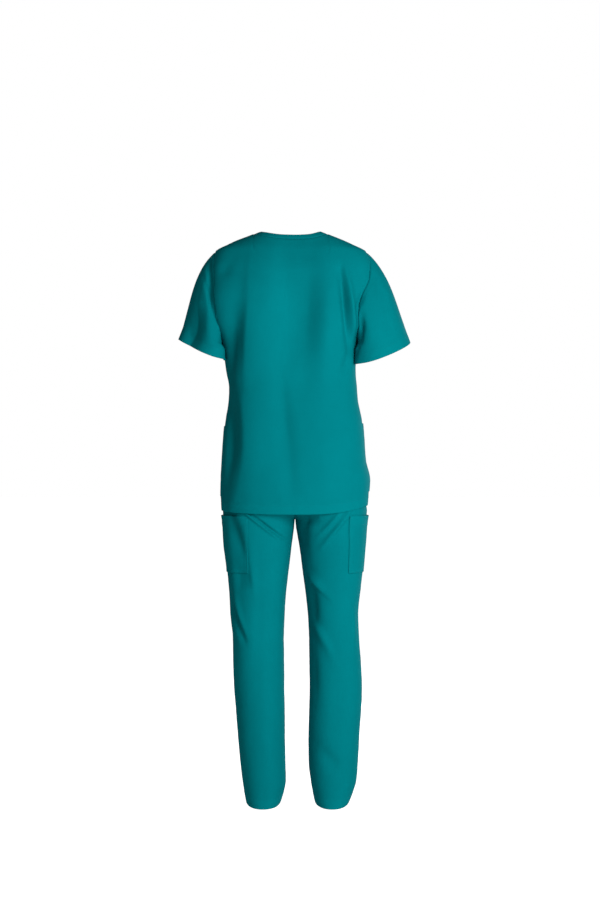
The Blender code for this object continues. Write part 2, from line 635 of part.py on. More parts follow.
def patch(grid, normals, rows, columns):
    """A patch pocket's outer and inner points, from a panel's own, moved out. Its top gapes in the middle."""
    bottom, top = rows
    first, last = columns
    outer, inner = [], []
    for i in range(bottom, top + 1):
        outer_row, inner_row = [], []
        for j in range(first, last + 1):
            across, up = (j - first) / (last - first), (i - bottom) / (top - bottom)
            stand_off = SEAM_GAP + POCKET_GAPE * up**3 * sin(pi * across)
            out = normals[i][j].normalized()
            inner_row.append(grid[i][j] + out * stand_off)
            outer_row.append(grid[i][j] + out * (stand_off + WALL))
        outer.append(outer_row)
        inner.append(inner_row)
    return outer, inner


def nearest_row(grid, column, height):
    """The row whose point in a column is nearest a height."""
    return min(range(len(grid)), key=lambda i: abs(grid[i][column].z + HELD_HEIGHT - height))


def side_by_side(first, second):
    """Two grids that share a seam, as one: second follows first round."""
    return [a + b[1:] for a, b in zip(first, second)]


def cloth_material(name):
    material = bpy.data.materials.new(f"{name}_cloth")
    material.use_nodes = True
    shader = material.node_tree.nodes["Principled BSDF"]
    shader.inputs["Base Color"].default_value = CLOTH_COLOUR
    shader.inputs["Roughness"].default_value = CLOTH_ROUGHNESS
    shader.inputs["Metallic"].default_value = 0.0
    return material


def build_top():
    back, front = body_grid(1), body_grid(-1)
    grids = {
        "top_back": back,
        "top_front": front,
        "sleeve_left": sleeve_grid(1, back, front),
        "sleeve_right": sleeve_grid(-1, back, front),
        "neckband": neckband_grid(),
    }
    grids, normals = folded(grids, TOP_FOLDS)
    for name, grid in grids.items():
        closed = name not in ("top_back", "top_front")
        outer, inner = drawn_in(grid, wall(grid, normals[name]), closed)
        cloth_solid(name, outer, inner, closed)
    build_front_pockets(grids["top_front"], normals["top_front"])


def build_front_pockets(front, normals):
    """The two low patch pockets, caught in the side seams."""
    last, reach = len(front[0]) - 1, FRONT_POCKET_COLUMNS
    rows = [nearest_row(front, reach, height) for height in FRONT_POCKET_HEIGHTS]
    cloth_solid("front_pocket_right", *patch(front, normals, rows, (0, reach)))
    cloth_solid("front_pocket_left", *patch(front, normals, rows, (last - reach, last)))


def build_trousers():
    grids = {
        "leg_left_back": leg_grid(1, 1),
        "leg_left_front": leg_grid(1, -1),
        "leg_right_back": leg_grid(-1, 1),
        "leg_right_front": leg_grid(-1, -1),
        "waistband": waistband_grid(),
    }
    grids, normals = folded(grids, TROUSER_FOLDS)
    for name, grid in grids.items():
        closed = name == "waistband"
        outer, inner = drawn_in(grid, wall(grid, normals[name]), closed)
        if not closed:
            hand = 1 if "left" in name else -1
            outer, inner = on_own_side(outer, hand), on_own_side(inner, hand)
        cloth_solid(name, outer, inner, closed)
    build_cargo_pocket("left", ("leg_left_front", "leg_left_back"), grids, normals)
    build_cargo_pocket("right", ("leg_right_back", "leg_right_front"), grids, normals)


def build_cargo_pocket(side, panels, grids, normals):
    """A patch pocket over a leg's side seam. panels are the leg's two, in their order round it."""
    leg = side_by_side(*(grids[name] for name in panels))
    leg_normals = side_by_side(*(normals[name] for name in panels))
    rows = [nearest_row(leg, LEG_COLUMNS, height) for height in (CARGO_BOTTOM_HEIGHT, CARGO_TOP_HEIGHT)]
    behind, ahead = CARGO_COLUMNS_BEHIND[side], CARGO_COLUMNS_AHEAD[side]
    before, after = (ahead, behind) if side == "left" else (behind, ahead)
    columns = (LEG_COLUMNS - before, LEG_COLUMNS + after)
    cloth_solid(f"cargo_pocket_{side}", *patch(leg, leg_normals, rows, columns))


def main():
    for old in list(bpy.data.objects):
        bpy.data.objects.remove(old)
    build_top()
    build_trousers()


main()
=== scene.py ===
"""A set of medical scrubs, top and trousers, as a standing wearer holds them out, with nobody in them. Every
piece is a sheet of cloth with the form, folds and stitching that it has in wear. Lengths are metres, heights
are above the floor that the wearer stands on, and seams are where two sheets share their points."""

from collections import namedtuple
from math import pi, radians

import bmesh
import bpy
import numpy as np
from mathutils import Matrix, Vector, noise


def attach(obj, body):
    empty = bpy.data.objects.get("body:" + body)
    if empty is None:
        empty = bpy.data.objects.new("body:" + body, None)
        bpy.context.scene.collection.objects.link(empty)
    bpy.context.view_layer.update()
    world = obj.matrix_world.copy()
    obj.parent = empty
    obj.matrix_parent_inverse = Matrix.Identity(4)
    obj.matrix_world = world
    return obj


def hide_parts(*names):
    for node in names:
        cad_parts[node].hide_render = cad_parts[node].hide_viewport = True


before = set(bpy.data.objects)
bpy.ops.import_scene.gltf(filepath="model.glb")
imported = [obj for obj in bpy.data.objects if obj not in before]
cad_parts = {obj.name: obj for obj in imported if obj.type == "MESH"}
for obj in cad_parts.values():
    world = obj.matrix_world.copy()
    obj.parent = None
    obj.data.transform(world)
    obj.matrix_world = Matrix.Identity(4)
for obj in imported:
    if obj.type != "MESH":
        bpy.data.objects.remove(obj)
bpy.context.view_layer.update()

# ----------------------------------------------------------------------------
# The top's back and front. Each is cut in one piece: they meet down the sides, with a vent at the foot, and
# over the shoulders, and they leave room for the sleeves and the neckband.

HANDS = {1: "left", -1: "right"}  # the wearer's
FACINGS = {1: "back", -1: "front"}
HELD_HEIGHT = 1.44  # the frame's origin above the floor
TORSO_POWER = 2.35  # how round the sections are: 2 is an ellipse, and more is squarer
ARMPIT_HEIGHT = 1.185
SHOULDER_TIP_HEIGHT = 1.41
TOP_HEM_BACK = 0.758
TOP_HEM_LEFT = 0.7645
TOP_HEM_RIGHT = 0.778
TOP_HEM_FRONT = 0.770
HEM_ROUNDNESS = 3
VENT_HEIGHT = 0.065
VENT_SPREAD = 0.007
VENT_SHARE = 0.93  # how far out the cloth starts to part towards a vent
NECK_SHARE = 0.5  # of the shoulder's width, taken by the neck and its band
BAND_WIDTH_SHOULDER = 0.017
BACK_NECK_HEIGHT = 1.449
BACK_NECK_ROUNDNESS = 3.2
BACK_BAND_DROP = 0.0105
V_HEIGHT = 1.290
V_BAND_DROP = 0.048

# The body at each height: how far its sides reach from the middle plane, where its middle is, how far back
# and forward it comes, and where the side seams run
Torso = namedtuple("Torso", "height left right middle back front seam")
TORSO = (
    Torso(0.750, 0.1815, 0.1785, 0.000, 0.134, -0.129, 0.002),
    Torso(0.800, 0.1850, 0.1830, 0.000, 0.134, -0.129, 0.002),
    Torso(0.840, 0.1840, 0.1860, 0.000, 0.132, -0.128, 0.002),
    Torso(0.890, 0.1815, 0.1755, 0.002, 0.128, -0.126, 0.002),
    Torso(0.940, 0.1780, 0.1720, 0.003, 0.124, -0.124, 0.002),
    Torso(0.990, 0.1725, 0.1670, 0.004, 0.119, -0.122, 0.002),
    Torso(1.040, 0.1655, 0.1570, 0.006, 0.116, -0.121, 0.002),
    Torso(1.070, 0.1645, 0.1545, 0.008, 0.116, -0.121, 0.002),
    Torso(1.115, 0.1720, 0.1515, 0.010, 0.118, -0.122, 0.002),
    Torso(1.185, 0.1820, 0.1570, 0.010, 0.122, -0.122, 0.002),
    Torso(1.240, 0.2070, 0.1850, 0.010, 0.124, -0.119, 0.001),
    Torso(1.300, 0.2200, 0.2010, 0.010, 0.122, -0.111, 0.000),
    Torso(1.360, 0.2160, 0.1990, 0.010, 0.110, -0.095, -0.002),
    Torso(1.410, 0.2000, 0.1780, 0.010, 0.089, -0.075, -0.004),
    Torso(1.430, 0.1630, 0.1400, 0.010, 0.076, -0.063, -0.005),
    Torso(1.4535, 0.1050, 0.0850, 0.010, 0.056, -0.046, -0.006),
    Torso(1.460, 0.0880, 0.0680, 0.010, 0.047, -0.040, -0.006),
)

# Where the armhole seams run, from the armpit to the shoulder's tip
Armhole = namedtuple("Armhole", "height back_left back_right front_left front_right")
ARMHOLE = (
    Armhole(1.185, 0.182, 0.157, 0.182, 0.157),
    Armhole(1.220, 0.186, 0.155, 0.176, 0.152),
    Armhole(1.260, 0.191, 0.157, 0.172, 0.150),
    Armhole(1.300, 0.195, 0.169, 0.174, 0.153),
    Armhole(1.340, 0.198, 0.184, 0.182, 0.162),
    Armhole(1.380, 0.200, 0.187, 0.193, 0.174),
    Armhole(1.410, 0.200, 0.178, 0.200, 0.178),
)

# How finely the pieces are cut: points lie about 4 mm apart, and closer beside seams and hems
NEAR_SEAM = (0.0010, 0.0022, 0.0042, 0.0050, 0.0058, 0.0080, 0.0105)
NEAR_HEM = (0.0015, 0.0075, 0.0135, 0.0195, 0.0210, 0.0220, 0.0230, 0.0250)
NECK_COLUMNS = 24
SIDE_COLUMNS = 46
LOW_ROWS = 100
HIGH_ROWS = 66
TRIAL_STEPS = 240
SECTION_WIDTH = 0.178  # the section whose outline the columns divide evenly
SECTION_DEPTH = 0.120
SHOULDER_WIDTH = 0.190
BLEND_HEIGHT = 0.03
HALVINGS = 50
TINY = 1e-9


def reading(table, column, heights):
    """A column's values at these heights, on a smooth curve through the rows that never overshoots."""
    rows = np.array([row.height for row in table])
    values = np.array([getattr(row, column) for row in table])
    chords = np.diff(values) / np.diff(rows)
    before, after = chords[:-1], chords[1:]
    turning = before * after <= 0
    bends = np.where(turning, 0.0, 2 * before * after / np.where(turning, 1.0, before + after))
    slopes = np.concatenate((chords[:1], bends, chords[-1:]))
    heights = np.clip(heights, rows[0], rows[-1])
    at = np.clip(np.searchsorted(rows, heights, side="right") - 1, 0, len(rows) - 2)
    span = rows[at + 1] - rows[at]
    t = (heights - rows[at]) / span
    rise = (t**3 - 2 * t**2 + t) * slopes[at] + (t**3 - t**2) * slopes[at + 1]
    return values[at] + (values[at + 1] - values[at]) * t * t * (3 - 2 * t) + rise * span


def smooth(value, start, end):
    """From 0 at start to 1 at end, easing in and out."""
    t = np.clip((value - start) / (end - start), 0.0, 1.0)
    return t * t * (3 - 2 * t)


def run(points, axis):
    """How far along its column (axis 0) or row (1) each point of a grid lies."""
    steps = np.linalg.norm(np.diff(points, axis=axis), axis=-1)
    nought = np.zeros_like(np.take(steps, [0], axis=axis))
    return np.concatenate((nought, np.cumsum(steps, axis=axis)), axis=axis)


def spread(lengths, count, near_start=(), near_end=()):
    """count + 1 places along lines of these lengths: at fixed distances from the ends, and evenly between."""
    lengths = np.asarray(lengths, float)
    start = [lengths * 0.0] + [lengths * 0.0 + distance for distance in near_start]
    end = [lengths - distance for distance in near_end[::-1]] + [lengths]
    between = count + 1 - len(start) - len(end)
    middle = [start[-1] + (end[0] - start[-1]) * (i + 1) / (between + 1) for i in range(between)]
    return np.array(start + middle + end)


def even_rows(surface, columns, count, near_start=(), near_end=()):
    """A grid whose rows lie evenly up every column. surface(v) gives the points at v, from 0 to 1 upwards."""
    trial = (1 - np.cos(np.linspace(0.0, pi, TRIAL_STEPS))) / 2
    trial = np.repeat(trial[:, None], columns, axis=1)
    along = run(surface(trial), 0)
    wanted = spread(along[-1], count, near_start, near_end)
    placed = [np.interp(wanted[:, j], along[:, j], trial[:, j]) for j in range(columns)]
    return surface(np.stack(placed, axis=1))


def in_frame(x, y, heights):
    """Points of the frame, which has its origin at the height that the set is held at."""
    x, y, heights = np.broadcast_arrays(x, y, heights)
    return np.stack((x, y, heights - HELD_HEIGHT), axis=-1)


def torso_share(x, heights):
    """How far out x is on the body's section, from 0 at its middle to 1 at its side."""
    middle = reading(TORSO, "middle", heights)
    left, right = reading(TORSO, "left", heights) - middle, reading(TORSO, "right", heights) + middle
    return np.abs(x - middle) / np.where(x >= middle, left, right)


def torso_points(x, heights, facing):
    """The points of the body's back (facing 1) or front (-1) at x and height."""
    seam = reading(TORSO, "seam", heights)
    reach = reading(TORSO, FACINGS[facing], heights) - seam
    out = np.minimum(torso_share(x, heights), 1.0)
    return in_frame(x, seam + reach * (1 - out**TORSO_POWER) ** (1 / TORSO_POWER), heights)


def shoulder_heights(x):
    """The height of the shoulder line over x, where the body's section has shrunk to reach just that far."""
    x = np.asarray(x, float)
    low, high = np.full(x.shape, SHOULDER_TIP_HEIGHT), np.full(x.shape, TORSO[-1].height)
    for _ in range(HALVINGS):
        trial = (low + high) / 2
        inside = torso_share(x, trial) < 1
        low, high = np.where(inside, trial, low), np.where(inside, high, trial)
    return low


def armhole_x(heights, facing, hand):
    """Where the armhole's seam runs. hand is 1 on the wearer's left, -1 on the right."""
    return hand * reading(ARMHOLE, f"{FACINGS[facing]}_{HANDS[hand]}", heights)


def edge_x(heights, facing, hand):
    """Where a panel's edge runs: the side's seam up to the armpit, and the armhole's above it."""
    side = hand * reading(TORSO, HANDS[hand], heights)
    return np.where(heights <= ARMPIT_HEIGHT, side, armhole_x(heights, facing, hand))


def neckline(shares, facing, on_seam):
    """x and height on the neck's edge, or on the seam of its band, at these shares of the half width."""
    middle = reading(TORSO, "middle", SHOULDER_TIP_HEIGHT)
    x, heights = np.zeros_like(shares), np.zeros_like(shares)
    for hand in HANDS:
        here = shares >= 0 if hand > 0 else shares < 0
        tip = edge_x(SHOULDER_TIP_HEIGHT, 1, hand)
        corner = middle + NECK_SHARE * (tip - middle) - (0.0 if on_seam else hand * BAND_WIDTH_SHOULDER)
        out = np.abs(shares) / NECK_SHARE
        top = shoulder_heights(corner)
        if facing > 0:
            low, power = BACK_NECK_HEIGHT - (BACK_BAND_DROP if on_seam else 0.0), BACK_NECK_ROUNDNESS
        else:
            low, power = V_HEIGHT - (V_BAND_DROP if on_seam else 0.0), 1
        x = np.where(here, middle + (corner - middle) * out, x)
        heights = np.where(here, low + (top - low) * out**power, heights)
    return x, heights


def body_shares():
    """How far out each column lies, from -1 to 1: below the armpit, where the section turns away at the
    sides, and above it. The neck's corner and the edges are the same columns in both."""
    angles = np.linspace(0.0, pi / 2, TRIAL_STEPS)
    outs = np.sin(angles) ** (2 / TORSO_POWER)
    section = np.stack((outs * SECTION_WIDTH, np.cos(angles) ** (2 / TORSO_POWER) * SECTION_DEPTH), axis=-1)
    along = run(section, 0)
    corner = np.interp(NECK_SHARE, outs, along)
    neck = np.linspace(0.0, NECK_SHARE, NECK_COLUMNS + 1)
    below = np.interp(corner + spread(along[-1] - corner, SIDE_COLUMNS, (), NEAR_SEAM), along, outs)
    shoulder = spread((1 - NECK_SHARE) * SHOULDER_WIDTH, SIDE_COLUMNS, (), NEAR_SEAM)
    above = NECK_SHARE + shoulder / SHOULDER_WIDTH
    halves = [np.concatenate((neck, side[1:])) for side in (below, above)]
    return [np.concatenate((-half[:0:-1], half)) for half in halves]


def body_surface(below, above, facing, v, upper):
    """Points of a body panel at v up its columns, below the armpit or above it (upper)."""
    shares = above
    reach = np.abs(shares)
    side = np.where(shares >= 0, TOP_HEM_LEFT, TOP_HEM_RIGHT)
    middle_hem = TOP_HEM_BACK if facing > 0 else TOP_HEM_FRONT
    hem = middle_hem + (side - middle_hem) * np.abs(below) ** HEM_ROUNDNESS
    middle = reading(TORSO, "middle", SHOULDER_TIP_HEIGHT)
    tips = [edge_x(SHOULDER_TIP_HEIGHT, facing, hand) for hand in HANDS]
    top_x = middle + reach * (np.where(shares >= 0, *tips) - middle)
    neck = reach < NECK_SHARE - TINY
    top = np.where(neck, neckline(shares, facing, True)[1], shoulder_heights(top_x))
    if upper:
        heights = ARMPIT_HEIGHT + (top - ARMPIT_HEIGHT) * v
        side_heights = ARMPIT_HEIGHT + (SHOULDER_TIP_HEIGHT - ARMPIT_HEIGHT) * v
        blend = 0.5 + 0.5 * smooth(side_heights, ARMPIT_HEIGHT, ARMPIT_HEIGHT + BLEND_HEIGHT)
    else:
        heights = hem + (ARMPIT_HEIGHT - hem) * v
        side_heights = side + (ARMPIT_HEIGHT - side) * v
        blend = 0.5 * smooth(side_heights, ARMPIT_HEIGHT - BLEND_HEIGHT, ARMPIT_HEIGHT)
    shares = below + (above - below) * blend
    edge = armhole_x if upper else edge_x  # from the armpit itself upwards, the armhole's seam
    edges = [edge(side_heights, facing, hand) for hand in HANDS]
    middle = reading(TORSO, "middle", heights)
    x = middle + np.abs(shares) * (np.where(shares >= 0, *edges) - middle)
    return torso_points(x, heights, facing)


def body_grid(facing):
    """The back or front, row by row from the hem, each row going round anticlockwise from above."""
    below, above = [shares * facing for shares in body_shares()]

    def surface(upper):
        return lambda v: body_surface(below, above, facing, v, upper)

    low = even_rows(surface(False), len(below), LOW_ROWS, NEAR_HEM)
    high = even_rows(surface(True), len(below), HIGH_ROWS, (), NEAR_SEAM)
    grid = np.concatenate((low, high[1:]))
    shoulder = np.abs(above) > NECK_SHARE - TINY
    grid[-1, shoulder, 1] = reading(TORSO, "seam", grid[-1, shoulder, 2] + HELD_HEIGHT)
    # below the vents' tops the back and front part
    heights = grid[..., 2] + HELD_HEIGHT
    hems = np.where(below >= 0, TOP_HEM_LEFT, TOP_HEM_RIGHT)
    parting = VENT_SPREAD * np.maximum(0.0, 1 - (heights - hems) / VENT_HEIGHT) ** 2
    grid[..., 1] += facing * parting * smooth(np.abs(below), VENT_SHARE, 1.0)
    return grid[:, ::-1]


top = {f"top_{side}": body_grid(facing) for facing, side in FACINGS.items()}

# ----------------------------------------------------------------------------
# The sleeves. Each is cut in one piece, set into its armhole and closed under the arm. The hem hangs as an
# oval ring, lower at the back, and under the arm the sleeve lies against the body.

# A hem: where it lies outermost and innermost, how far its back and front stand off, and how much lower the
# back hangs
Cuff = namedtuple("Cuff", "outer_x outer_height inner_x inner_y inner_height half_depth back_drop")
CUFFS = {
    1: Cuff(0.2915, 1.192, 0.1775, 0.028, 1.1380, 0.071, 0.007),
    -1: Cuff(0.2885, 1.184, 0.1545, 0.028, 1.1300, 0.071, 0.013),
}
SLEEVE_SLOPE = np.array((0.62, 0.0, -0.78))  # the way out along the sleeve where it leaves the armhole
SLEEVE_TOP = np.array((0.78, 0.0, 0.62))  # square to it, towards the sleeve's top
CUFF_SLOPE = np.array((0.38, 0.0, -0.925))
UNDERARM_SLOPE = np.array((-0.12, 0.0, -0.99))  # down the body's side
UNDERARM_TURN = 0.45  # from how far round the sleeve it follows the body
SLEEVE_CAP_LIFT = 0.20
SLEEVE_ROWS = 46
UNDERARM_GAP = 0.0009
UNDERARM_REACH = 0.028
UNDERARM_START = 0.022
UNDERARM_PUSH = 0.006


def sleeve_half(hand, facing, hole):
    """The back or front half of a sleeve. hole is its half of the armhole, from the armpit up."""
    cuff = CUFFS[hand]
    mirror = np.array((hand, 1.0, 1.0))
    outermost = in_frame(hand * cuff.outer_x, 0.0, cuff.outer_height)
    innermost = in_frame(hand * cuff.inner_x, cuff.inner_y, cuff.inner_height)
    middle, away = (outermost + innermost) / 2, (outermost - innermost) / 2
    aside = np.array((0.0, cuff.half_depth, -cuff.back_drop)) * facing
    along = run(hole, 0)
    turn = (pi * (1 - along / along[-1]))[:, None]
    hem = middle + away * np.cos(turn) + aside * np.sin(turn)
    outward = SLEEVE_TOP * np.cos(turn) + np.array((0.0, facing, 0.0)) * np.sin(turn)
    reach = np.linalg.norm(hem - hole, axis=-1)[:, None]
    under = smooth(-np.cos(turn), UNDERARM_TURN, 1.0)
    slope = SLEEVE_SLOPE + (UNDERARM_SLOPE - SLEEVE_SLOPE) * under
    pull = (slope + outward * SLEEVE_CAP_LIFT * (1 + np.cos(turn)) / 2) * mirror * reach
    hem_pull = (CUFF_SLOPE + (UNDERARM_SLOPE - CUFF_SLOPE) * under) * mirror * reach

    def surface(v):
        t = v[..., None]
        start = hem * (2 * t**3 - 3 * t**2 + 1) - hem_pull * (t**3 - 2 * t**2 + t)
        return start + hole * (3 * t**2 - 2 * t**3) - pull * (t**3 - t**2)

    return even_rows(surface, len(hole), SLEEVE_ROWS, NEAR_HEM, NEAR_SEAM)


def beside_body(points, gap, reach):
    """Points near the body's sides, moved until they all but touch it."""
    heights = np.minimum(points[..., 2] + HELD_HEIGHT, ARMPIT_HEIGHT)
    middle, seam = reading(TORSO, "middle", heights), reading(TORSO, "seam", heights)
    across, deep = points[..., 0] - middle, points[..., 1] - seam
    left, right, back, front = [reading(TORSO, side, heights) for side in ("left", "right", "back", "front")]
    half = np.where(across > 0, left - middle, right + middle)
    depth = np.where(deep > 0, back - seam, seam - front)
    size = (np.abs(across / half) ** TORSO_POWER + np.abs(deep / depth) ** TORSO_POWER) ** (1 / TORSO_POWER)
    stand_off = np.hypot(across, deep) * (1 - 1 / size)
    excess = np.maximum(stand_off - gap, -UNDERARM_PUSH)
    excess = np.where(excess > 0, excess * np.exp(-((stand_off / reach) ** 2)), excess)
    below = smooth(ARMPIT_HEIGHT - points[..., 2] - HELD_HEIGHT, 0.0, UNDERARM_START)
    moved = points.copy()
    moved[..., 0] -= across / np.hypot(across, deep) * excess * below
    moved[..., 1] -= deep / np.hypot(across, deep) * excess * below
    return moved


def sleeve_grid(hand):
    """A sleeve, row by row from its hem to the armhole, closed round under the arm."""
    # the back's rows run from the wearer's left to the right, and the front's from the right to the left
    back_edge, front_edge = (0, -1) if hand > 0 else (-1, 0)
    back = sleeve_half(hand, 1, top["top_back"][LOW_ROWS:, back_edge])
    front = sleeve_half(hand, -1, top["top_front"][LOW_ROWS:, front_edge])
    first, second = (front, back) if hand > 0 else (back, front)
    return beside_body(np.concatenate((first, second[:, -2::-1]), axis=1), UNDERARM_GAP, UNDERARM_REACH)


for hand, side in HANDS.items():
    top[f"sleeve_{side}"] = sleeve_grid(hand)

# ----------------------------------------------------------------------------
# The neckband. A folded strip, sewn round the neck's edge, narrow behind and lapped at the point of the V.

BAND_ROWS = 12
NEAR_BAND_SEAM = (0.0010, 0.0022)
NEAR_BAND_EDGE = (0.0006, 0.0014)


def neckband_grid():
    """The band, row by row from its seam to the neck's edge, closed round from the left shoulder."""
    shares = body_shares()[1]
    shares = shares[np.abs(shares) < NECK_SHARE + TINY]
    around = [(shares[::-1], 1), (shares[1:], -1)]
    seam = [neckline(part, facing, True) for part, facing in around]
    edge = [neckline(part, facing, False) for part, facing in around]

    def surface(v):
        halves, start = [], 0
        for (part, facing), (x, height), (far_x, far_height) in zip(around, seam, edge):
            up = v[:, start:start + len(part)]
            start += len(part)
            at_x, at_height = x + (far_x - x) * up, height + (far_height - height) * up
            corner = np.abs(part) > NECK_SHARE - TINY
            at_height = np.where(corner, shoulder_heights(at_x), at_height)
            points = torso_points(at_x, at_height, facing)
            points[:, corner, 1] = reading(TORSO, "seam", at_height)[:, corner]
            halves.append(points)
        return np.concatenate(halves, axis=1)

    return even_rows(surface, len(shares) * 2 - 1, BAND_ROWS, NEAR_BAND_SEAM, NEAR_BAND_EDGE)


top["neckband"] = neckband_grid()

# ----------------------------------------------------------------------------
# The top sewn up. The folds and drapes go through all its pieces, the seams sink in, and the cloth puckers
# along its stitching.

SAME_POINT = 0.000001
NO_AREA = 1e-15
FOLD_TURN = 1.6  # how soon a fold fades where the cloth turns away from the back or the front
FOLD_FADE = 2.5  # how far it runs on past its ends, in its own widths
FOLD_END_DEPTH = 0.35  # its depth at the ends, as a share of that in the middle
SEAM_DIP = 0.0015
SEAM_SOFTNESS = 0.0020
WELT = 0.00035  # seam allowance and hem, felt through the cloth
WELT_RISE = (0.0, 0.002)  # from where to where it swells beside a seam, and falls again
WELT_FALL = (0.007, 0.009)
HEM_RISE = (-0.002, 0.003)
HEM_FALL = (0.023, 0.026)
GROOVE = 0.0003
GROOVE_WIDTH = 0.0011
HEM_STITCH = 0.022
SEAM_STITCH = 0.005
PUCKER = 0.0005
PUCKER_SIZE = np.array((0.015, 0.015, 0.013))
PUCKER_REACH = 0.013
DRIFT = 0.0011
DRIFT_SIZE = np.array((0.060, 0.060, 0.170))
RIPPLE = 0.0005
RIPPLE_SIZE = np.array((0.028, 0.028, 0.050))

# Folds are soft ridges, and troughs where depth is under nought, along a line across the back or the front.
# bow is how far the line curves aside at its middle, and the two widths are those on either side of it.
Fold = namedtuple("Fold", "x height x_end height_end bow width far_width depth")
TOP_BACK_FOLDS = (
    # down the back: the hollow along the spine, and the drapes beside it
    Fold(0.008, 1.100, 0.018, 1.360, 0.000, 0.032, 0.060, -0.0220),
    Fold(-0.035, 1.380, -0.026, 1.120, 0.000, 0.030, 0.045, -0.0125),
    Fold(0.042, 1.150, 0.012, 0.850, 0.000, 0.018, 0.026, -0.0070),
    Fold(-0.082, 1.340, -0.074, 1.060, 0.000, 0.022, 0.022, 0.0050),
    Fold(-0.070, 0.960, -0.090, 0.790, 0.000, 0.034, 0.034, 0.0040),
    Fold(0.012, 0.880, 0.010, 0.790, 0.000, 0.022, 0.022, -0.0030),
    # the drape from the left shoulder blade to the waist, and the one under it down to the hem
    Fold(0.150, 1.218, 0.165, 1.075, 0.000, 0.015, 0.016, -0.0115),
    Fold(0.111, 1.290, 0.118, 1.085, 0.000, 0.044, 0.015, 0.0105),
    Fold(0.174, 1.055, 0.170, 0.845, 0.012, 0.017, 0.010, -0.0135),
    Fold(0.130, 1.060, 0.128, 0.850, 0.012, 0.046, 0.018, 0.0110),
    # from the right shoulder, and at the right armhole
    Fold(-0.113, 1.350, -0.134, 1.170, 0.002, 0.0060, 0.011, -0.0150),
    Fold(-0.126, 1.350, -0.146, 1.190, 0.002, 0.009, 0.0060, 0.0110),
    Fold(-0.150, 1.175, -0.116, 1.095, 0.000, 0.011, 0.014, -0.0080),
    Fold(0.160, 1.375, 0.182, 1.340, 0.000, 0.014, 0.014, -0.0030),
    # on the sleeves
    Fold(0.216, 1.395, 0.204, 1.260, 0.000, 0.008, 0.008, -0.0095),
    Fold(0.2272, 1.3400, 0.1925, 1.2150, 0.003, 0.0050, 0.0050, -0.0050),
    Fold(0.190, 1.350, 0.184, 1.130, 0.000, 0.030, 0.023, 0.0110),
    Fold(0.272, 1.280, 0.272, 1.150, 0.000, 0.056, 0.012, -0.0275),
    Fold(-0.164, 1.240, -0.150, 1.170, 0.002, 0.009, 0.010, -0.0080),
    Fold(-0.174, 1.310, -0.150, 1.255, 0.000, 0.007, 0.008, -0.0060),
    Fold(-0.202, 1.345, -0.210, 1.265, 0.000, 0.011, 0.011, 0.0030),
    Fold(-0.225, 1.250, -0.230, 1.190, 0.000, 0.012, 0.012, -0.0030),
)
TOP_FRONT_FOLDS = (
    Fold(0.085, 1.250, 0.092, 0.880, 0.000, 0.026, 0.034, 0.0095),
    Fold(-0.070, 1.230, -0.078, 0.860, 0.000, 0.032, 0.024, 0.0085),
    Fold(0.012, 1.160, 0.000, 0.800, 0.004, 0.034, 0.028, -0.0105),
    Fold(0.130, 1.310, 0.150, 1.130, -0.006, 0.013, 0.015, -0.0120),
    Fold(-0.112, 1.300, -0.130, 1.120, 0.006, 0.015, 0.013, -0.0115),
    Fold(0.222, 1.300, 0.215, 1.170, 0.000, 0.013, 0.017, -0.0095),
    Fold(-0.203, 1.300, -0.197, 1.170, 0.000, 0.016, 0.012, -0.0090),
)


def shared_normals(grids):
    """A unit normal for every point of the grids, the same wherever points of two pieces lie together."""
    totals = []
    for points in grids.values():
        total = np.zeros_like(points)
        corners = (points[:-1, :-1], points[:-1, 1:], points[1:, 1:], points[1:, :-1])
        targets = (total[:-1, :-1], total[:-1, 1:], total[1:, 1:], total[1:, :-1])
        for k in range(4):
            ahead, behind = corners[(k + 1) % 4] - corners[k], corners[k - 1] - corners[k]
            square = np.cross(ahead, behind)
            size = np.linalg.norm(square, axis=-1)
            turn = np.arctan2(size, np.sum(ahead * behind, axis=-1))
            targets[k][...] += square / np.maximum(size, NO_AREA)[..., None] * turn[..., None]
        totals.append(total.reshape(-1, 3))
    places = np.concatenate([points.reshape(-1, 3) for points in grids.values()])
    _, same = np.unique(np.round(places / SAME_POINT).astype(np.int64), axis=0, return_inverse=True)
    sums = np.zeros((same.max() + 1, 3))
    np.add.at(sums, same.ravel(), np.concatenate(totals))
    units = (sums / np.linalg.norm(sums, axis=-1, keepdims=True))[same.ravel()]
    normals, start = {}, 0
    for name, points in grids.items():
        count = points.shape[0] * points.shape[1]
        normals[name] = units[start:start + count].reshape(points.shape)
        start += count
    return normals


def fold_depths(points, normals, folds):
    """How far the folds move the points along their normals. folds has those of each facing."""
    total = np.zeros(points.shape[:-1])
    x, heights = points[..., 0], points[..., 2] + HELD_HEIGHT
    for facing, fold in [(facing, fold) for facing, listed in folds.items() for fold in listed]:
        turned = np.clip(normals[..., 1] * facing * FOLD_TURN, 0.0, 1.0)
        run_x, run_up = fold.x_end - fold.x, fold.height_end - fold.height
        length = np.hypot(run_x, run_up)
        dx, dh = x - fold.x, heights - fold.height
        along = (dx * run_x + dh * run_up) / length**2
        aside = (dx * run_up - dh * run_x) / length - fold.bow * 4 * along * (1 - along)
        beyond = np.maximum(np.maximum(-along, along - 1), 0.0) * length
        width = np.where(aside > 0, fold.width, fold.far_width)
        fade = np.exp(-((beyond / (FOLD_FADE * fold.width)) ** 2))
        swell = FOLD_END_DEPTH + (1 - FOLD_END_DEPTH) * np.sin(pi * np.clip(along, 0.0, 1.0))
        total += fold.depth * turned * swell * fade * np.exp(-((aside / width) ** 2))
    return total


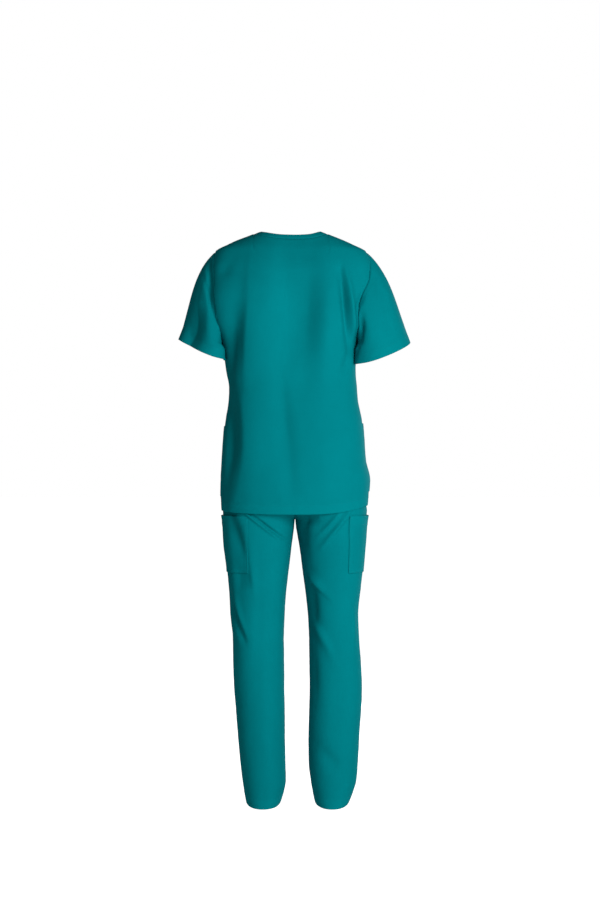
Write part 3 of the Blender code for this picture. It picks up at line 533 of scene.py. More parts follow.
def soft_noise(points, size, seed):
    """Smooth noise, about -1 to 1. size is how large its lumps are along X, Y and Z."""
    places = (points / size).reshape(-1, 3) + seed
    return np.array([noise.noise(place) for place in places.tolist()]).reshape(points.shape[:-1])


def drifting(points):
    """The cloth's slack: long shallow waves down the hang, and small ones on them."""
    return DRIFT * soft_noise(points, DRIFT_SIZE, 3.7) + RIPPLE * soft_noise(points, RIPPLE_SIZE, 11.3)


def moved(grids, normals, depths):
    """The pieces with their points moved along the normals."""
    return {name: points + normals[name] * depths[name][..., None] for name, points in grids.items()}


def draped(grids, folds):
    """The pieces with their folds and slack, and the normals that go with them."""
    normals = shared_normals(grids)
    depths = {}
    for name, points in grids.items():
        depths[name] = fold_depths(points, normals[name], folds) + drifting(points)
    grids = moved(grids, normals, depths)
    return grids, shared_normals(grids)


def edge_distances(points):
    """How far each point lies from the first column, the last column, the first row and the last row."""
    along, up = run(points, 1), run(points, 0)
    return {"start": along, "end": along[:, -1:] - along, "foot": up, "head": up[-1:] - up}


def sewn_depths(points, seams=(), stitched=(), hems=()):
    """How far stitching and seam allowances move the cloth. seams and hems name edges of the piece; stitched
    edges are seams with a row of stitches beside them."""
    distances = edge_distances(points)
    total = np.zeros(points.shape[:-1])
    nearest = np.full(points.shape[:-1], 1.0)
    for edge in seams:
        total -= SEAM_DIP * np.exp(-((distances[edge] / SEAM_SOFTNESS) ** 2))
        nearest = np.minimum(nearest, distances[edge])
    for edge in stitched:
        total += WELT * smooth(distances[edge], *WELT_RISE) * (1 - smooth(distances[edge], *WELT_FALL))
        total -= GROOVE * np.exp(-(((distances[edge] - SEAM_STITCH) / GROOVE_WIDTH) ** 2))
    for edge in hems:
        total += WELT * (1 - smooth(distances[edge], *HEM_FALL)) * smooth(distances[edge], *HEM_RISE)
        total -= GROOVE * np.exp(-(((distances[edge] - HEM_STITCH) / GROOVE_WIDTH) ** 2))
        nearest = np.minimum(nearest, np.abs(distances[edge] - HEM_STITCH))
    puckers = soft_noise(points, PUCKER_SIZE, 5.1)
    return total + PUCKER * puckers * np.exp(-((nearest / PUCKER_REACH) ** 2))


SHEET = 0.0008
DOUBLE_SHEET = 0.0016
HEM = {"foot": 0.0225}  # how much cloth is turned in along an edge
HEM_TAPER = 0.002


def finished(name, mesh, material):
    """A mesh made an object of this name, in this material."""
    data = bpy.data.meshes.new(name)
    mesh.to_mesh(data)
    mesh.free()
    data.materials.append(material)
    piece = bpy.data.objects.new(name, data)
    bpy.context.scene.collection.objects.link(piece)
    return piece


def cloth(name, points, material, closed=False, turned=None, sheet=SHEET):
    """A sheet of cloth on a grid's points, with its thickness inwards, double where an edge is turned in."""
    rows, columns = points.shape[:2]
    across, up = run(points, 1), run(points, 0)
    across -= across[:, columns // 2][:, None]
    distances = edge_distances(points)
    hemmed = np.zeros((rows, columns))
    for edge, width in (turned or {}).items():
        hemmed = np.maximum(hemmed, 1 - smooth(distances[edge], width, width + HEM_TAPER))
    mesh = bmesh.new()
    bmesh.ops.create_grid(mesh, x_segments=columns - 1, y_segments=rows - 1, size=1.0)
    for vertex, place in zip(mesh.verts, points.reshape(-1, 3).tolist()):
        vertex.co = place
    plan = mesh.loops.layers.uv.new("weave")
    places = list(zip(across.ravel().tolist(), up.ravel().tolist()))
    thick = mesh.verts.layers.deform.verify()
    edge_layer = mesh.verts.layers.float.new("hem")
    for vertex, value in zip(mesh.verts, hemmed.ravel().tolist()):
        vertex[thick][0] = (sheet + (DOUBLE_SHEET - sheet) * value) / DOUBLE_SHEET
        vertex[edge_layer] = value
    mesh.verts.index_update()
    for face in mesh.faces:
        face.smooth = True
        for loop in face.loops:
            loop[plan].uv = places[loop.vert.index]
    if closed:
        bmesh.ops.remove_doubles(mesh, verts=mesh.verts[:], dist=SAME_POINT)
    piece = finished(name, mesh, material)
    piece.vertex_groups.new(name="thickness")
    solidify = piece.modifiers.new("thickness", "SOLIDIFY")
    solidify.thickness = DOUBLE_SHEET
    solidify.offset = -1.0
    solidify.vertex_group = "thickness"
    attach(piece, "root")
    return piece


class Shade:
    """A value in a material's nodes that arithmetic works on."""

    def __init__(self, tree, socket=None):
        self.tree = tree
        self.socket = socket

    def make(self, kind, output=0, settings=None, **values):
        """A new node with its settings and its sockets' values, by name or as _0, _1. Gives one output."""
        node = self.tree.nodes.new(kind)
        for setting, value in (settings or {}).items():
            setattr(node, setting, value)
        for name, value in values.items():
            socket = node.inputs[int(name[1:])] if name[0] == "_" else node.inputs[name.replace("_", " ")]
            if isinstance(value, Shade):
                self.tree.links.new(value.socket, socket)
            else:
                socket.default_value = value
        return Shade(self.tree, node.outputs[output])

    def feed(self, node, name):
        """Links this value to a socket of a node."""
        self.tree.links.new(self.socket, node.inputs[name])

    def mixed(self, first, second):
        """The colour between two others that lies this share of the way to the second."""
        return self.make("ShaderNodeMix", 2, {"data_type": "RGBA"}, _0=self, _6=first, _7=second)

    def maths(self, operation, *values):
        inputs = {f"_{i}": value for i, value in enumerate(values)}
        return self.make("ShaderNodeMath", settings={"operation": operation}, **inputs)

    def __add__(self, other):
        return self.maths("ADD", self, other)

    def __sub__(self, other):
        return self.maths("SUBTRACT", self, other)

    def __mul__(self, other):
        return self.maths("MULTIPLY", self, other)

    def __rsub__(self, other):
        return self.maths("SUBTRACT", other, self)

    __radd__ = __add__
    __rmul__ = __mul__


def paint(name, roughness, specular):
    """A new material with its shader, and a Shade to build its nodes with."""
    material = bpy.data.materials.new(name)
    material.use_nodes = True
    shader = material.node_tree.nodes["Principled BSDF"]
    shader.inputs["Roughness"].default_value = roughness
    shader.inputs["Specular IOR Level"].default_value = specular
    return material, shader, Shade(material.node_tree)


def sampled(values, rows, columns):
    """A grid's values at fractional rows and columns."""
    rows, columns = np.broadcast_arrays(rows, columns)
    row = np.clip(rows.astype(int), 0, values.shape[0] - 2)
    column = np.clip(columns.astype(int), 0, values.shape[1] - 2)
    up, along = (rows - row)[..., None], (columns - column)[..., None]
    low = values[row, column] * (1 - along) + values[row, column + 1] * along
    high = values[row + 1, column] * (1 - along) + values[row + 1, column + 1] * along
    return low * (1 - up) + high * up


def beside(points, normals, edge, inset):
    """The line at a fixed distance from an edge of a grid, and the normals along it."""
    across_rows = edge in ("foot", "head")
    distances = edge_distances(points)[edge]
    sign = -1 if edge in ("head", "end") else 1
    lines = distances.T if across_rows else distances
    at = np.array([np.interp(sign * inset, sign * line, np.arange(len(line))) for line in lines])
    steps = np.arange(len(at), dtype=float)
    where = (at, steps) if across_rows else (steps, at)
    return sampled(points, *where), sampled(normals, *where)


STITCH = 0.0034  # from one stitch to the next, and half a stitch along, across and up from the cloth
STITCH_HALVES = (0.0012, 0.00030, 0.00026)
TACK = {"pitch": 0.0009, "halves": (0.00035, 0.0016, 0.00045)}  # a bar of stitches side by side


def sew(path, normals, start=0.0, end=0.0, pitch=STITCH, halves=STITCH_HALVES):
    """A row of stitches along a path, from start to end metres short of its ends, as a mesh."""
    lengths = np.concatenate(([0.0], np.cumsum(np.linalg.norm(np.diff(path, axis=0), axis=1))))
    count = max(int((lengths[-1] - start - end) / pitch), 1)
    places = start + (np.arange(count) + 0.5) * (lengths[-1] - start - end) / count

    def at(values, where):
        return np.stack([np.interp(where, lengths, values[:, i]) for i in range(3)], axis=-1)

    row = bmesh.new()
    ways = at(path, places + halves[0]) - at(path, places - halves[0])
    for centre, way, normal in zip(at(path, places), ways, at(normals, places)):
        ahead = Vector(way).normalized()
        side = Vector(normal).normalized().cross(ahead).normalized()
        axes = (ahead * halves[0], side * halves[1], ahead.cross(side) * halves[2])
        matrix = Matrix(axes).transposed().to_4x4()
        matrix.translation = centre
        bmesh.ops.create_icosphere(row, subdivisions=1, radius=1.0, matrix=matrix)
    data = bpy.data.meshes.new("row")
    row.to_mesh(data)
    row.free()
    return data


def sewn(name, rows, material):
    """All the stitches of a garment as one piece."""
    mesh = bmesh.new()
    for data in rows:
        mesh.from_mesh(data)
        bpy.data.meshes.remove(data)
    for face in mesh.faces:
        face.smooth = True
    piece = finished(name, mesh, material)
    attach(piece, "root")
    return piece


NEAR_EDGE = (0.0010, 0.0024, 0.0042, 0.0050, 0.0058, 0.0080)
POCKET_LIFT = 0.0020
POCKET_GAPE = 0.0035
CAUGHT_LIFT = 0.0010
CAUGHT_REACH = 0.012
POCKET_EDGES = {"head": 0.0225, "foot": 0.008, "start": 0.008, "end": 0.008}
POCKET_CELL = 0.004
POCKET_STITCHES = (0.0020, SEAM_STITCH)  # how far in from an edge its two rows lie
TACK_INSET = 0.004
TACK_POINTS = 4


def free_edges(caught):
    """The edges of a pocket that are stitched down: all but its mouth and the one caught in a seam."""
    return [edge for edge in ("start", "end", "foot") if edge != caught]


def patch(points, normals, first, last, low, high, caught=None):
    """A patch pocket on a panel, between two of its columns and from the heights low up to high, which are
    given for each of its columns. The mouth stands open a little. A caught edge, start or end, is sewn into a
    seam. Gives the pocket's points and normals."""
    level = points[..., 2] + HELD_HEIGHT
    steps = np.arange(len(level), dtype=float)

    def rows_at(heights):
        return np.array([np.interp(height, column, steps) for height, column in zip(heights, level.T)])

    ends = [rows_at(low), rows_at(high)]
    middle = int(np.mean(ends))
    along = run(points[middle:middle + 1], 1)[0]
    width = along[last] - along[first]
    across = along[first] + spread(width, round(width / POCKET_CELL), NEAR_EDGE, NEAR_EDGE)
    columns = np.interp(across, along, np.arange(len(along)))
    tall = float(high[first] - low[first])
    up = (spread(tall, round(tall / POCKET_CELL), NEAR_EDGE, NEAR_HEM) / tall)[:, None]
    foot, head = [np.interp(columns, np.arange(level.shape[1]), edge) for edge in ends]
    rows = foot + (head - foot) * up
    share = (across - across[0]) / width
    lift = POCKET_LIFT + POCKET_GAPE * up**3 * np.sin(pi * share)
    if caught:
        inwards = (share if caught == "start" else 1 - share) * width
        lift = lift - (POCKET_LIFT - CAUGHT_LIFT) * (1 - smooth(inwards, 0.0, CAUGHT_REACH))
    points = sampled(points, rows, columns) + sampled(normals, rows, columns) * lift[..., None]
    normals = shared_normals({"pocket": points})["pocket"]
    return points + normals * sewn_depths(points, (), free_edges(caught), ("head",))[..., None], normals


def pocket_rows(points, normals, caught=None):
    """A pocket's stitches: along its mouth's hem, two rows down its free edges, and a tack at each corner."""
    made = [sew(*beside(points, normals, "head", HEM_STITCH), SEAM_STITCH, SEAM_STITCH)]
    for edge in free_edges(caught):
        for inset in POCKET_STITCHES:
            made.append(sew(*beside(points, normals, edge, inset), inset, inset))
    path, around = beside(points, normals, "head", TACK_INSET)
    for edge, corner in (("start", slice(TACK_POINTS)), ("end", slice(-TACK_POINTS, None))):
        if edge != caught:
            made.append(sew(path[corner], around[corner], **TACK))
    return made


THREAD = 0.00055  # from one thread of the weave to the next
TEAL = (0.0, 0.232, 0.262, 1.0)
TEAL_DEEP = (0.0, 0.203, 0.231, 1.0)
TEAL_HEM = (0.0, 0.252, 0.283, 1.0)
PATCHES = {"Scale": 7.0, "Detail": 3.0, "Roughness": 0.55}
SLUB_ALONG = 25.0  # how finely the threads vary, to the metre, along themselves and from one to the next
SLUB_ACROSS = 1400.0
HEM_TINT = 0.22
WEAVE_ROUGHNESS = 0.80
TWIST_SCALE = 900.0
THREAD_SHADE = 0.72  # the thread in the shade of its twist


def woven(name, light, deep, edge):
    """Plain-weave cotton and polyester: matt, with threads that differ a little and a faint grain."""
    material, shader, shade = paint(name, WEAVE_ROUGHNESS, specular=0.012)
    plan = shade.make("ShaderNodeUVMap", settings={"uv_map": "weave"})
    u, v = [shade.make("ShaderNodeSeparateXYZ", output, _0=plan) for output in (0, 1)]
    place = shade.make("ShaderNodeTexCoord", output=3)
    patchy = shade.make("ShaderNodeTexNoise", Vector=place, **PATCHES)

    def slubs(across, along):
        spot = shade.make("ShaderNodeCombineXYZ", _0=u * across, _1=v * along)
        flat = {"noise_dimensions": "2D"}
        return shade.make("ShaderNodeTexNoise", settings=flat, Vector=spot, Scale=1.0, Detail=2.0)

    warp, weft = slubs(SLUB_ACROSS, SLUB_ALONG), slubs(SLUB_ALONG, SLUB_ACROSS)
    tone = (patchy - 0.5) * 1.5 + (warp + weft - 1.0) * 0.6 + 0.5
    hem = shade.make("ShaderNodeAttribute", output=2, settings={"attribute_name": "hem"})
    (hem * HEM_TINT).mixed(tone.mixed(deep, light), edge).feed(shader, "Base Color")
    over, under = [shade.maths("SINE", way * (pi / THREAD)) for way in (u, v)]
    grain = over * under + (warp + weft) * 0.8
    shade.make("ShaderNodeBump", Strength=0.25, Distance=0.00008, Height=grain).feed(shader, "Normal")
    (patchy * 0.08 + WEAVE_ROUGHNESS).feed(shader, "Roughness")
    return material


def thread(name, colour):
    """Polyester sewing thread, a little brighter than the cloth, with its twist."""
    material, shader, shade = paint(name, roughness=0.62, specular=0.15)
    place = shade.make("ShaderNodeTexCoord", output=3)
    twist = shade.make("ShaderNodeTexNoise", Vector=place, Scale=TWIST_SCALE, Detail=2.0)
    deep = (colour[0], colour[1] * THREAD_SHADE, colour[2] * THREAD_SHADE, 1.0)
    twist.mixed(deep, colour).feed(shader, "Base Color")
    shade.make("ShaderNodeBump", Strength=0.3, Distance=0.00006, Height=twist).feed(shader, "Normal")
    return material


top_cloth = woven("top_cloth", TEAL, TEAL_DEEP, TEAL_HEM)
top, top_normals = draped(top, {1: TOP_BACK_FOLDS, -1: TOP_FRONT_FOLDS})
top_stitched = {"top_back": ("start", "end", "head"), "top_front": ("start", "end")}
top_depths = {"neckband": sewn_depths(top["neckband"], ("foot",))}
for name in ("top_back", "top_front", "sleeve_left", "sleeve_right"):
    top_depths[name] = sewn_depths(top[name], ("start", "end", "head"), top_stitched.get(name, ()), ("foot",))
middle_front = top["neckband"].shape[1] * 3 // 4
top_depths["neckband"][:, middle_front] -= SEAM_DIP
top = moved(top, top_normals, top_depths)

for side, length, area in (("back", 0.70, 0.320), ("front", 0.69, 0.286)):
    panel = cloth(f"top_{side}_panel", top[f"top_{side}"], top_cloth, turned=HEM)
    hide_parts(f"top_{side}")

for side, area in (("left", 0.063), ("right", 0.070)):
    points = top[f"sleeve_{side}"]
    sleeve = cloth(f"top_sleeve_{side}", points, top_cloth, closed=True, turned=HEM)
    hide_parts(f"sleeve_{side}")

band = cloth("top_neckband", top["neckband"], top_cloth, closed=True, sheet=DOUBLE_SHEET)
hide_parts("neckband")

# ----------------------------------------------------------------------------
# The top's front pockets. Low patch pockets of the same cloth, each caught in its side's seam, with a
# stitched hem along the mouth.

FRONT_POCKET_SHARE = 0.4411  # how far out its inner edge lies
FRONT_POCKET_LOW = 1 / 12  # of the way from the hem to the armpit
FRONT_POCKET_HIGH = 6 / 12

front_level = top["top_front"][0, :, 2] + HELD_HEIGHT
front_rise = ARMPIT_HEIGHT - front_level
low, high = [front_level + front_rise * share for share in (FRONT_POCKET_LOW, FRONT_POCKET_HIGH)]
inner = (-FRONT_POCKET_SHARE, FRONT_POCKET_SHARE)
right_inner, left_inner = np.interp(inner, body_shares()[1], np.arange(len(low))).round().astype(int)
front_pockets = []
for side, caught in (("right", "start"), ("left", "end")):
    first, last = (0, right_inner) if side == "right" else (left_inner, len(low) - 1)
    points, normals = patch(top["top_front"], top_normals["top_front"], first, last, low, high, caught)
    front_pockets.append((points, normals, caught))
    turned = {edge: width for edge, width in POCKET_EDGES.items() if edge != caught}
    pocket = cloth(f"top_pocket_{side}", points, top_cloth, turned=turned)
    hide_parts(f"front_pocket_{side}")

# ----------------------------------------------------------------------------
# The top's stitching. Rows of thread beside the seams and along the hems, and a tack at the top of each vent
# and at each free corner of a pocket's mouth.

VENT_ROWS = 22
VENT_TACK = 0.0012
ARMHOLE_START = 0.004
BAND_STITCH = 0.0022

top_thread = thread("top_thread", TEAL_HEM)
rows = []
for name in ("top_back", "top_front"):
    grid, normals = top[name], top_normals[name]
    for edge, inset in (("foot", HEM_STITCH), ("head", SEAM_STITCH)):
        rows.append(sew(*beside(grid, normals, edge, inset), SEAM_STITCH, SEAM_STITCH))
    for edge in ("start", "end"):
        path, around = beside(grid, normals, edge, SEAM_STITCH)
        rows.append(sew(path[:VENT_ROWS], around[:VENT_ROWS], HEM_STITCH))
        rows.append(sew(path[LOW_ROWS:], around[LOW_ROWS:], ARMHOLE_START, SEAM_STITCH))
        path, around = beside(grid, normals, edge, VENT_TACK)
        vent_top = slice(VENT_ROWS - 1, VENT_ROWS + 1)
        rows.append(sew(path[vent_top], around[vent_top], **TACK))
for name, inset in (("sleeve_left", HEM_STITCH), ("sleeve_right", HEM_STITCH), ("neckband", BAND_STITCH)):
    rows.append(sew(*beside(top[name], top_normals[name], "foot", inset)))
for points, normals, caught in front_pockets:
    rows.extend(pocket_rows(points, normals, caught))
top_stitches = sewn("top_stitches", rows, top_thread)

# ----------------------------------------------------------------------------
# The trousers' legs. Each is a back and a front panel, sewn down the side and the inside leg, and the two
# legs are joined over the rise. Straight, with a deep hem that hangs lower behind.

LEG_POWER = 2.25
CROTCH_HEIGHT = 0.742
WAIST_HEIGHT = 1.030
WAISTBAND = 0.040
TROUSER_HEM_BACK = 0.033
TROUSER_HEM_FRONT = 0.058
HEM_TILT_HEIGHT = 0.10
HEM_SQUARENESS = 0.58
LEG_COLUMNS = {1: 120, -1: 92}  # finer behind, where the seat's creases are
LEG_LOW_ROWS = 222
LEG_HIGH_ROWS = 76
SEAT_ROW = 0.0021  # how close the rows lie at the seat, and how many of them below the crotch and above it
SEAT_ROWS_BELOW = 32
SEAT_ROWS_ABOVE = 12
LEG_GIRTH = 0.25  # half of it, from seam to seam

# The trousers at each height: each leg's outer and inner side, how far apart the legs are, how far they come
# back and forward, and where the side seams and inseams run. Apart is 1 up to the crotch, above which the
# middle plane cuts the legs' sections off, and 0 where they share one section.
Leg = namedtuple("Leg", "height left left_inner right right_inner apart back front seam")
LEG = (
    Leg(0.033, 0.1215, 0.0365, 0.1335, 0.0505, 1.00, 0.086, -0.080, 0.004),
    Leg(0.060, 0.1265, 0.0285, 0.1440, 0.0450, 1.00, 0.081, -0.077, 0.004),
    Leg(0.090, 0.1310, 0.0225, 0.1530, 0.0395, 1.00, 0.078, -0.074, 0.003),
    Leg(0.145, 0.1375, 0.0240, 0.1575, 0.0340, 1.00, 0.076, -0.072, 0.002),
    Leg(0.205, 0.1425, 0.0250, 0.1605, 0.0335, 1.00, 0.075, -0.072, 0.001),
    Leg(0.265, 0.1475, 0.0255, 0.1650, 0.0350, 1.00, 0.074, -0.074, 0.000),
    Leg(0.325, 0.1520, 0.0270, 0.1675, 0.0365, 1.00, 0.072, -0.077, -0.002),
    Leg(0.385, 0.1545, 0.0275, 0.1650, 0.0355, 1.00, 0.070, -0.080, -0.003),
    Leg(0.445, 0.1560, 0.0275, 0.1605, 0.0350, 1.00, 0.070, -0.083, -0.004),
    Leg(0.505, 0.1620, 0.0255, 0.1580, 0.0320, 1.00, 0.074, -0.086, -0.004),
    Leg(0.565, 0.1655, 0.0215, 0.1640, 0.0255, 1.00, 0.081, -0.089, -0.003),
    Leg(0.625, 0.1700, 0.0150, 0.1705, 0.0175, 1.00, 0.090, -0.093, -0.001),
    Leg(0.685, 0.1770, 0.0075, 0.1750, 0.0095, 1.00, 0.101, -0.097, 0.000),
    Leg(0.742, 0.1785, 0.0008, 0.1775, 0.0008, 1.00, 0.110, -0.100, 0.002),
    Leg(0.765, 0.1804, 0.0008, 0.1797, 0.0008, 0.66, 0.112, -0.102, 0.002),
    Leg(0.780, 0.1782, 0.0008, 0.1770, 0.0008, 0.48, 0.113, -0.103, 0.002),
    Leg(0.800, 0.1710, 0.0008, 0.1685, 0.0008, 0.28, 0.114, -0.104, 0.002),
    Leg(0.850, 0.1660, 0.0008, 0.1640, 0.0008, 0.00, 0.115, -0.106, 0.002),
    Leg(0.915, 0.1580, 0.0008, 0.1560, 0.0008, 0.00, 0.111, -0.107, 0.001),
    Leg(0.990, 0.1480, 0.0008, 0.1440, 0.0008, 0.00, 0.100, -0.104, 0.000),
    Leg(1.030, 0.1420, 0.0008, 0.1380, 0.0008, 0.00, 0.096, -0.101, 0.000),
)


def leg_points(heights, hand, facing, t):
    """Points on a leg's back or front, at t from its inseam or rise (0) to its side seam (1)."""
    side = HANDS[hand]
    outer = reading(LEG, side, heights)
    split = heights <= CROTCH_HEIGHT
    apart = np.where(split, 1.0, reading(LEG, "apart", heights))
    inner = np.where(split, reading(LEG, side + "_inner", heights), outer * (apart - 1) / (apart + 1))
    middle, half = (outer + inner) / 2, (outer - inner) / 2
    turn = -np.cos(pi * t)
    across = np.sign(turn) * np.abs(turn) ** (2 / LEG_POWER)
    # above the crotch the columns keep their share of the way out from the middle plane
    across = np.where(split, across, (outer * (1 + across) / 2 - middle) / half)
    seam = reading(LEG, "seam", heights)
    reach = reading(LEG, FACINGS[facing], heights) - seam
    round_off = np.maximum(0.0, 1 - np.abs(across) ** LEG_POWER) ** (1 / LEG_POWER)
    return in_frame(hand * (middle + half * across), seam + reach * round_off, heights)


def leg_shares(facing):
    """Where a panel's columns run, from its inseam or rise (0) to its side seam (1)."""
    return spread(LEG_GIRTH, LEG_COLUMNS[facing], NEAR_SEAM, NEAR_SEAM) / LEG_GIRTH


def leg_grid(hand, facing):
    """One of the four panels, row by row from the hem, each row anticlockwise from above."""
    t = leg_shares(facing)
    near_crotch = [SEAT_ROW * (i + 1) for i in range(SEAT_ROWS_BELOW)]

    def surface(low, high):
        def points(v):
            heights = low + (high - low) * v
            near_hem = np.maximum(0.0, 1 - (heights - TROUSER_HEM_BACK) / HEM_TILT_HEIGHT)
            forward = 0.5 - 0.5 * facing * np.sin(pi * t) ** HEM_SQUARENESS
            tilt = (TROUSER_HEM_FRONT - TROUSER_HEM_BACK) * near_hem * forward
            return leg_points(heights + tilt, hand, facing, t)
        return points

    below, above = surface(TROUSER_HEM_BACK, CROTCH_HEIGHT), surface(CROTCH_HEIGHT, WAIST_HEIGHT - WAISTBAND)
    low = even_rows(below, len(t), LEG_LOW_ROWS, NEAR_HEM, near_crotch)
    high = even_rows(above, len(t), LEG_HIGH_ROWS, near_crotch[:SEAT_ROWS_ABOVE], NEAR_SEAM)
    grid = np.concatenate((low, high[1:]))
    return grid if hand * facing < 0 else grid[:, ::-1]


LEG_PANELS = {f"leg_{HANDS[hand]}_{FACINGS[facing]}": (hand, facing) for hand in HANDS for facing in FACINGS}
trousers = {name: leg_grid(hand, facing) for name, (hand, facing) in LEG_PANELS.items()}

# ----------------------------------------------------------------------------
# The waistband. A casing of the same cloth, folded over elastic and sewn to the legs, and gathered all round
# by the elastic's pull.

WAISTBAND_ROWS = 14


def waistband_grid():
    """The casing, closed round the waist, anticlockwise from above."""
    heights = np.linspace(WAIST_HEIGHT - WAISTBAND, WAIST_HEIGHT, WAISTBAND_ROWS + 1)[:, None]
    parts = []
    for hand, facing in ((1, 1), (-1, 1), (-1, -1), (1, -1)):
        part = leg_points(heights, hand, facing, leg_shares(facing))
        parts.append((part[:, ::-1] if hand * facing > 0 else part)[:, :-1])
    return np.concatenate(parts + [parts[0][:, :1]], axis=1)


trousers["waistband"] = waistband_grid()

# ----------------------------------------------------------------------------
# The trousers sewn up. Their seams and hems are made as the top's are, and the folds run from the seat and
# the knees.

TROUSER_BACK_FOLDS = (
    # left leg, behind: the pinch from the side to the seat, and the side's hollows
    Fold(0.1450, 0.7812, 0.0480, 0.7040, 0.000, 0.0034, 0.0036, 0.0072),
    Fold(0.1320, 0.7742, 0.0190, 0.6915, 0.000, 0.0034, 0.0038, -0.0082),
    Fold(0.172, 0.780, 0.128, 0.650, 0.004, 0.013, 0.020, -0.0110),
    Fold(0.142, 0.640, 0.134, 0.565, 0.000, 0.026, 0.014, -0.0080),
    Fold(0.107, 0.625, 0.100, 0.570, 0.000, 0.012, 0.007, 0.0035),
    Fold(0.172, 0.590, 0.130, 0.455, -0.004, 0.007, 0.009, -0.0125),
    Fold(0.152, 0.565, 0.126, 0.470, -0.003, 0.008, 0.007, 0.0040),
    Fold(0.078, 0.420, 0.070, 0.120, 0.000, 0.020, 0.024, 0.0040),
    Fold(0.085, 0.700, 0.080, 0.350, 0.000, 0.040, 0.020, -0.0040),
    # right leg, behind
    Fold(-0.134, 0.763, -0.070, 0.682, 0.000, 0.005, 0.007, 0.0074),
    Fold(-0.111, 0.764, -0.064, 0.712, 0.002, 0.005, 0.006, 0.0056),
    Fold(-0.006, 0.738, -0.060, 0.752, 0.000, 0.008, 0.014, -0.0090),
    Fold(-0.018, 0.755, -0.010, 0.640, 0.000, 0.016, 0.016, -0.0080),
    Fold(-0.024, 0.610, -0.070, 0.566, 0.000, 0.012, 0.006, 0.0075),
    Fold(-0.030, 0.590, -0.040, 0.480, 0.000, 0.018, 0.014, -0.0120),
    Fold(-0.030, 0.500, -0.092, 0.405, 0.006, 0.010, 0.012, 0.0060),
    Fold(-0.040, 0.410, -0.042, 0.300, 0.000, 0.014, 0.014, -0.0070),
    Fold(-0.143, 0.520, -0.145, 0.440, 0.000, 0.008, 0.006, 0.0050),
    Fold(-0.100, 0.350, -0.100, 0.290, 0.000, 0.050, 0.050, -0.0030),
    Fold(-0.060, 0.180, -0.110, 0.130, 0.000, 0.016, 0.018, -0.0050),
)
TROUSER_FRONT_FOLDS = (
    Fold(0.015, 0.745, 0.120, 0.690, 0.000, 0.013, 0.015, -0.0085),
    Fold(-0.015, 0.745, -0.120, 0.680, 0.000, 0.014, 0.012, -0.0085),
    Fold(0.142, 0.505, 0.060, 0.455, 0.000, 0.014, 0.016, -0.0085),
    Fold(-0.142, 0.515, -0.060, 0.462, 0.000, 0.013, 0.017, -0.0090),
    Fold(0.048, 0.180, 0.125, 0.125, 0.000, 0.013, 0.016, -0.0095),
    Fold(-0.058, 0.195, -0.135, 0.130, 0.000, 0.016, 0.013, -0.0100),
)

GATHER = 0.0022
GATHER_SIZE = np.array((0.0075, 0.0075, 0.060))
GATHER_FALL = 0.030


def gathers(points):
    """The puckers that the waist's elastic draws in, which run out a little way down the legs."""
    below = np.maximum(WAIST_HEIGHT - WAISTBAND - points[..., 2] - HELD_HEIGHT, 0.0)
    fade = np.exp(-((below / GATHER_FALL) ** 2))
    return GATHER * soft_noise(points, GATHER_SIZE, 8.9) * fade


trouser_cloth = woven("trouser_cloth", TEAL, TEAL_DEEP, TEAL_HEM)
trousers, trouser_normals = draped(trousers, {1: TROUSER_BACK_FOLDS, -1: TROUSER_FRONT_FOLDS})
trouser_depths = {}
for name, points in trousers.items():
    sewn_edges = (("foot",),) if name == "waistband" else (("start", "end", "head"), (), ("foot",))
    trouser_depths[name] = sewn_depths(points, *sewn_edges) + gathers(points)
trousers = moved(trousers, trouser_normals, trouser_depths)

for name in LEG_PANELS:
    panel = cloth(f"trouser_{name}", trousers[name], trouser_cloth, turned=HEM)
    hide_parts(name)

points = trousers["waistband"]
casing = cloth("trouser_waistband", points, trouser_cloth, closed=True, sheet=DOUBLE_SHEET)
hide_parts("waistband")

# ----------------------------------------------------------------------------
# The thigh pockets. A patch of the same cloth laid over each side seam, with a stitched hem along its mouth
# and two rows of stitches round its other edges.

POCKET_LOW = 0.612
POCKET_HIGH = 0.753
# how far each reaches behind (1) and ahead (-1) of the side seam, of the way to the inseam
POCKET_REACH = {1: {1: 6 / 14, -1: 3 / 14}, -1: {1: 5 / 14, -1: 4 / 14}}

thigh_pockets = []
for hand, reach in POCKET_REACH.items():
    order = (-hand, hand)  # the facings of the leg's panels, anticlockwise from above
    panels = [f"leg_{HANDS[hand]}_{FACINGS[facing]}" for facing in order]
    halves = [[grids[name] for name in panels] for grids in (trousers, trouser_normals)]
    leg, leg_normals = [np.concatenate((one, other[:, 1:]), axis=1) for one, other in halves]
    first, beyond = [int(np.searchsorted(leg_shares(facing), 1 - reach[facing])) for facing in order]
    columns = leg.shape[1]
    low, high = [np.full(columns, height) for height in (POCKET_LOW, POCKET_HIGH)]
    points, normals = patch(leg, leg_normals, first, columns - 1 - beyond, low, high)
    thigh_pockets.append((points, normals))
    name = f"pocket_{HANDS[hand]}"
    pocket = cloth(f"trouser_{name}", points, trouser_cloth, turned=POCKET_EDGES)
    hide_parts(f"cargo_{name}")

# ----------------------------------------------------------------------------
# The trousers' stitching. Thread of the cloth's colour along the legs' hems, in two rows round the casing,
# and round the pockets.

LEG_HEM_ENDS = 0.002
WAIST_STITCHES = (0.004, 0.036)

trouser_thread = thread("trouser_thread", TEAL_HEM)
rows = []
for name in LEG_PANELS:
    hem_row = beside(trousers[name], trouser_normals[name], "foot", HEM_STITCH)
    rows.append(sew(*hem_row, LEG_HEM_ENDS, LEG_HEM_ENDS))
for inset in WAIST_STITCHES:
    rows.append(sew(*beside(trousers["waistband"], trouser_normals["waistband"], "foot", inset)))
for points, normals in thigh_pockets:
    rows.extend(pocket_rows(points, normals))
trouser_stitches = sewn("trouser_stitches", rows, trouser_thread)

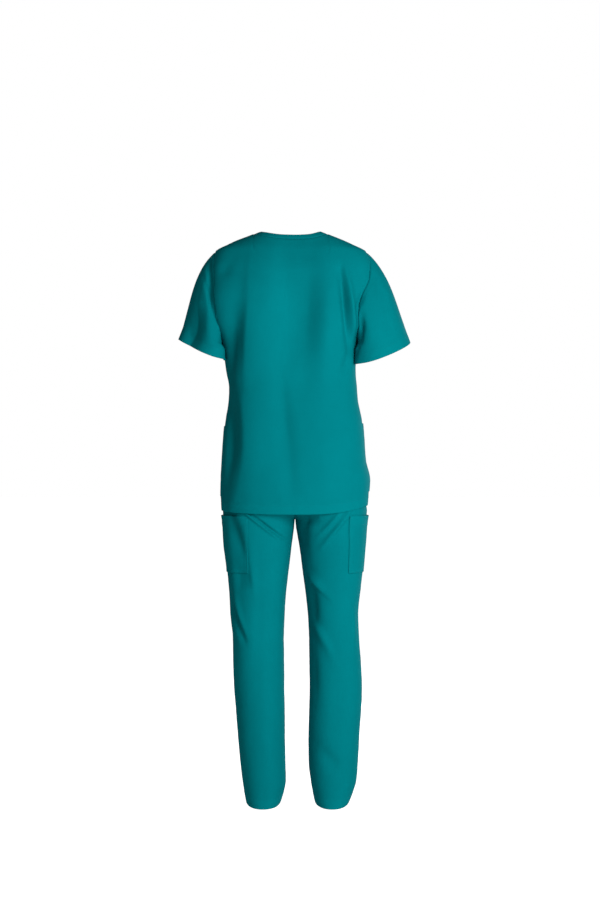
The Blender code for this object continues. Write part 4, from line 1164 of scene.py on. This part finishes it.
# ----------------------------------------------------------------------------
# The studio. A plain pale floor and backdrop, soft light from two square lamps, and a camera level with the
# thighs.

FLOOR_WHITE = (0.80, 0.80, 0.80, 1.0)
WHITE = (1.0, 1.0, 1.0, 1.0)
GREY = (0.05, 0.05, 0.05, 1.0)
FLOOR_HALF = 30.0
FLOOR_GLOW = 0.9
BACKDROP = 1.0
FILL = 0.19
CAMERA_HEIGHT = 0.915
CAMERA_PLACE = (-0.0125, 4.5, CAMERA_HEIGHT - HELD_HEIGHT)
FOCAL_LENGTH = 72.0

floor_paint, floor_shader, shade = paint("floor", roughness=0.9, specular=0.0)
floor_shader.inputs["Base Color"].default_value = FLOOR_WHITE
# the floor and the backdrop are brighter to the eye than the light that they give
shade.make("ShaderNodeLightPath").mixed(GREY, WHITE).feed(floor_shader, "Emission Color")
floor_shader.inputs["Emission Strength"].default_value = FLOOR_GLOW
mesh = bmesh.new()
bmesh.ops.create_grid(mesh, x_segments=1, y_segments=1, size=FLOOR_HALF)
bmesh.ops.translate(mesh, verts=mesh.verts[:], vec=(0.0, 0.0, -HELD_HEIGHT))
finished("floor", mesh, floor_paint)

world = bpy.data.worlds.new("studio")
bpy.context.scene.world = world
world.use_nodes = True
background = world.node_tree.nodes["Background"]
background.inputs["Color"].default_value = WHITE
seen = Shade(world.node_tree).make("ShaderNodeLightPath")
(seen * (BACKDROP - FILL) + FILL).feed(background, "Strength")


def area_light(name, place, target, size, power):
    """A square lamp that shines from a place towards a target."""
    lamp = bpy.data.lights.new(name, "AREA")
    lamp.size = size
    lamp.energy = power
    light = bpy.data.objects.new(name, lamp)
    light.location = place
    light.rotation_euler = (Vector(target) - Vector(place)).to_track_quat("-Z", "Y").to_euler()
    bpy.context.scene.collection.objects.link(light)


area_light("key", (-1.25, 2.25, -0.16), (0.0, 0.0, -0.12), 1.1, 53.0)
area_light("front", (-1.8, -2.6, -0.20), (0.0, 0.0, -0.55), 1.4, 50.0)

lens = bpy.data.cameras.new("camera")
lens.lens = FOCAL_LENGTH
camera = bpy.data.objects.new("camera", lens)
camera.location = CAMERA_PLACE
camera.rotation_euler = (radians(90), 0.0, radians(180))
bpy.context.scene.collection.objects.link(camera)
bpy.context.scene.camera = camera
bpy.context.scene.view_settings.view_transform = "Standard"
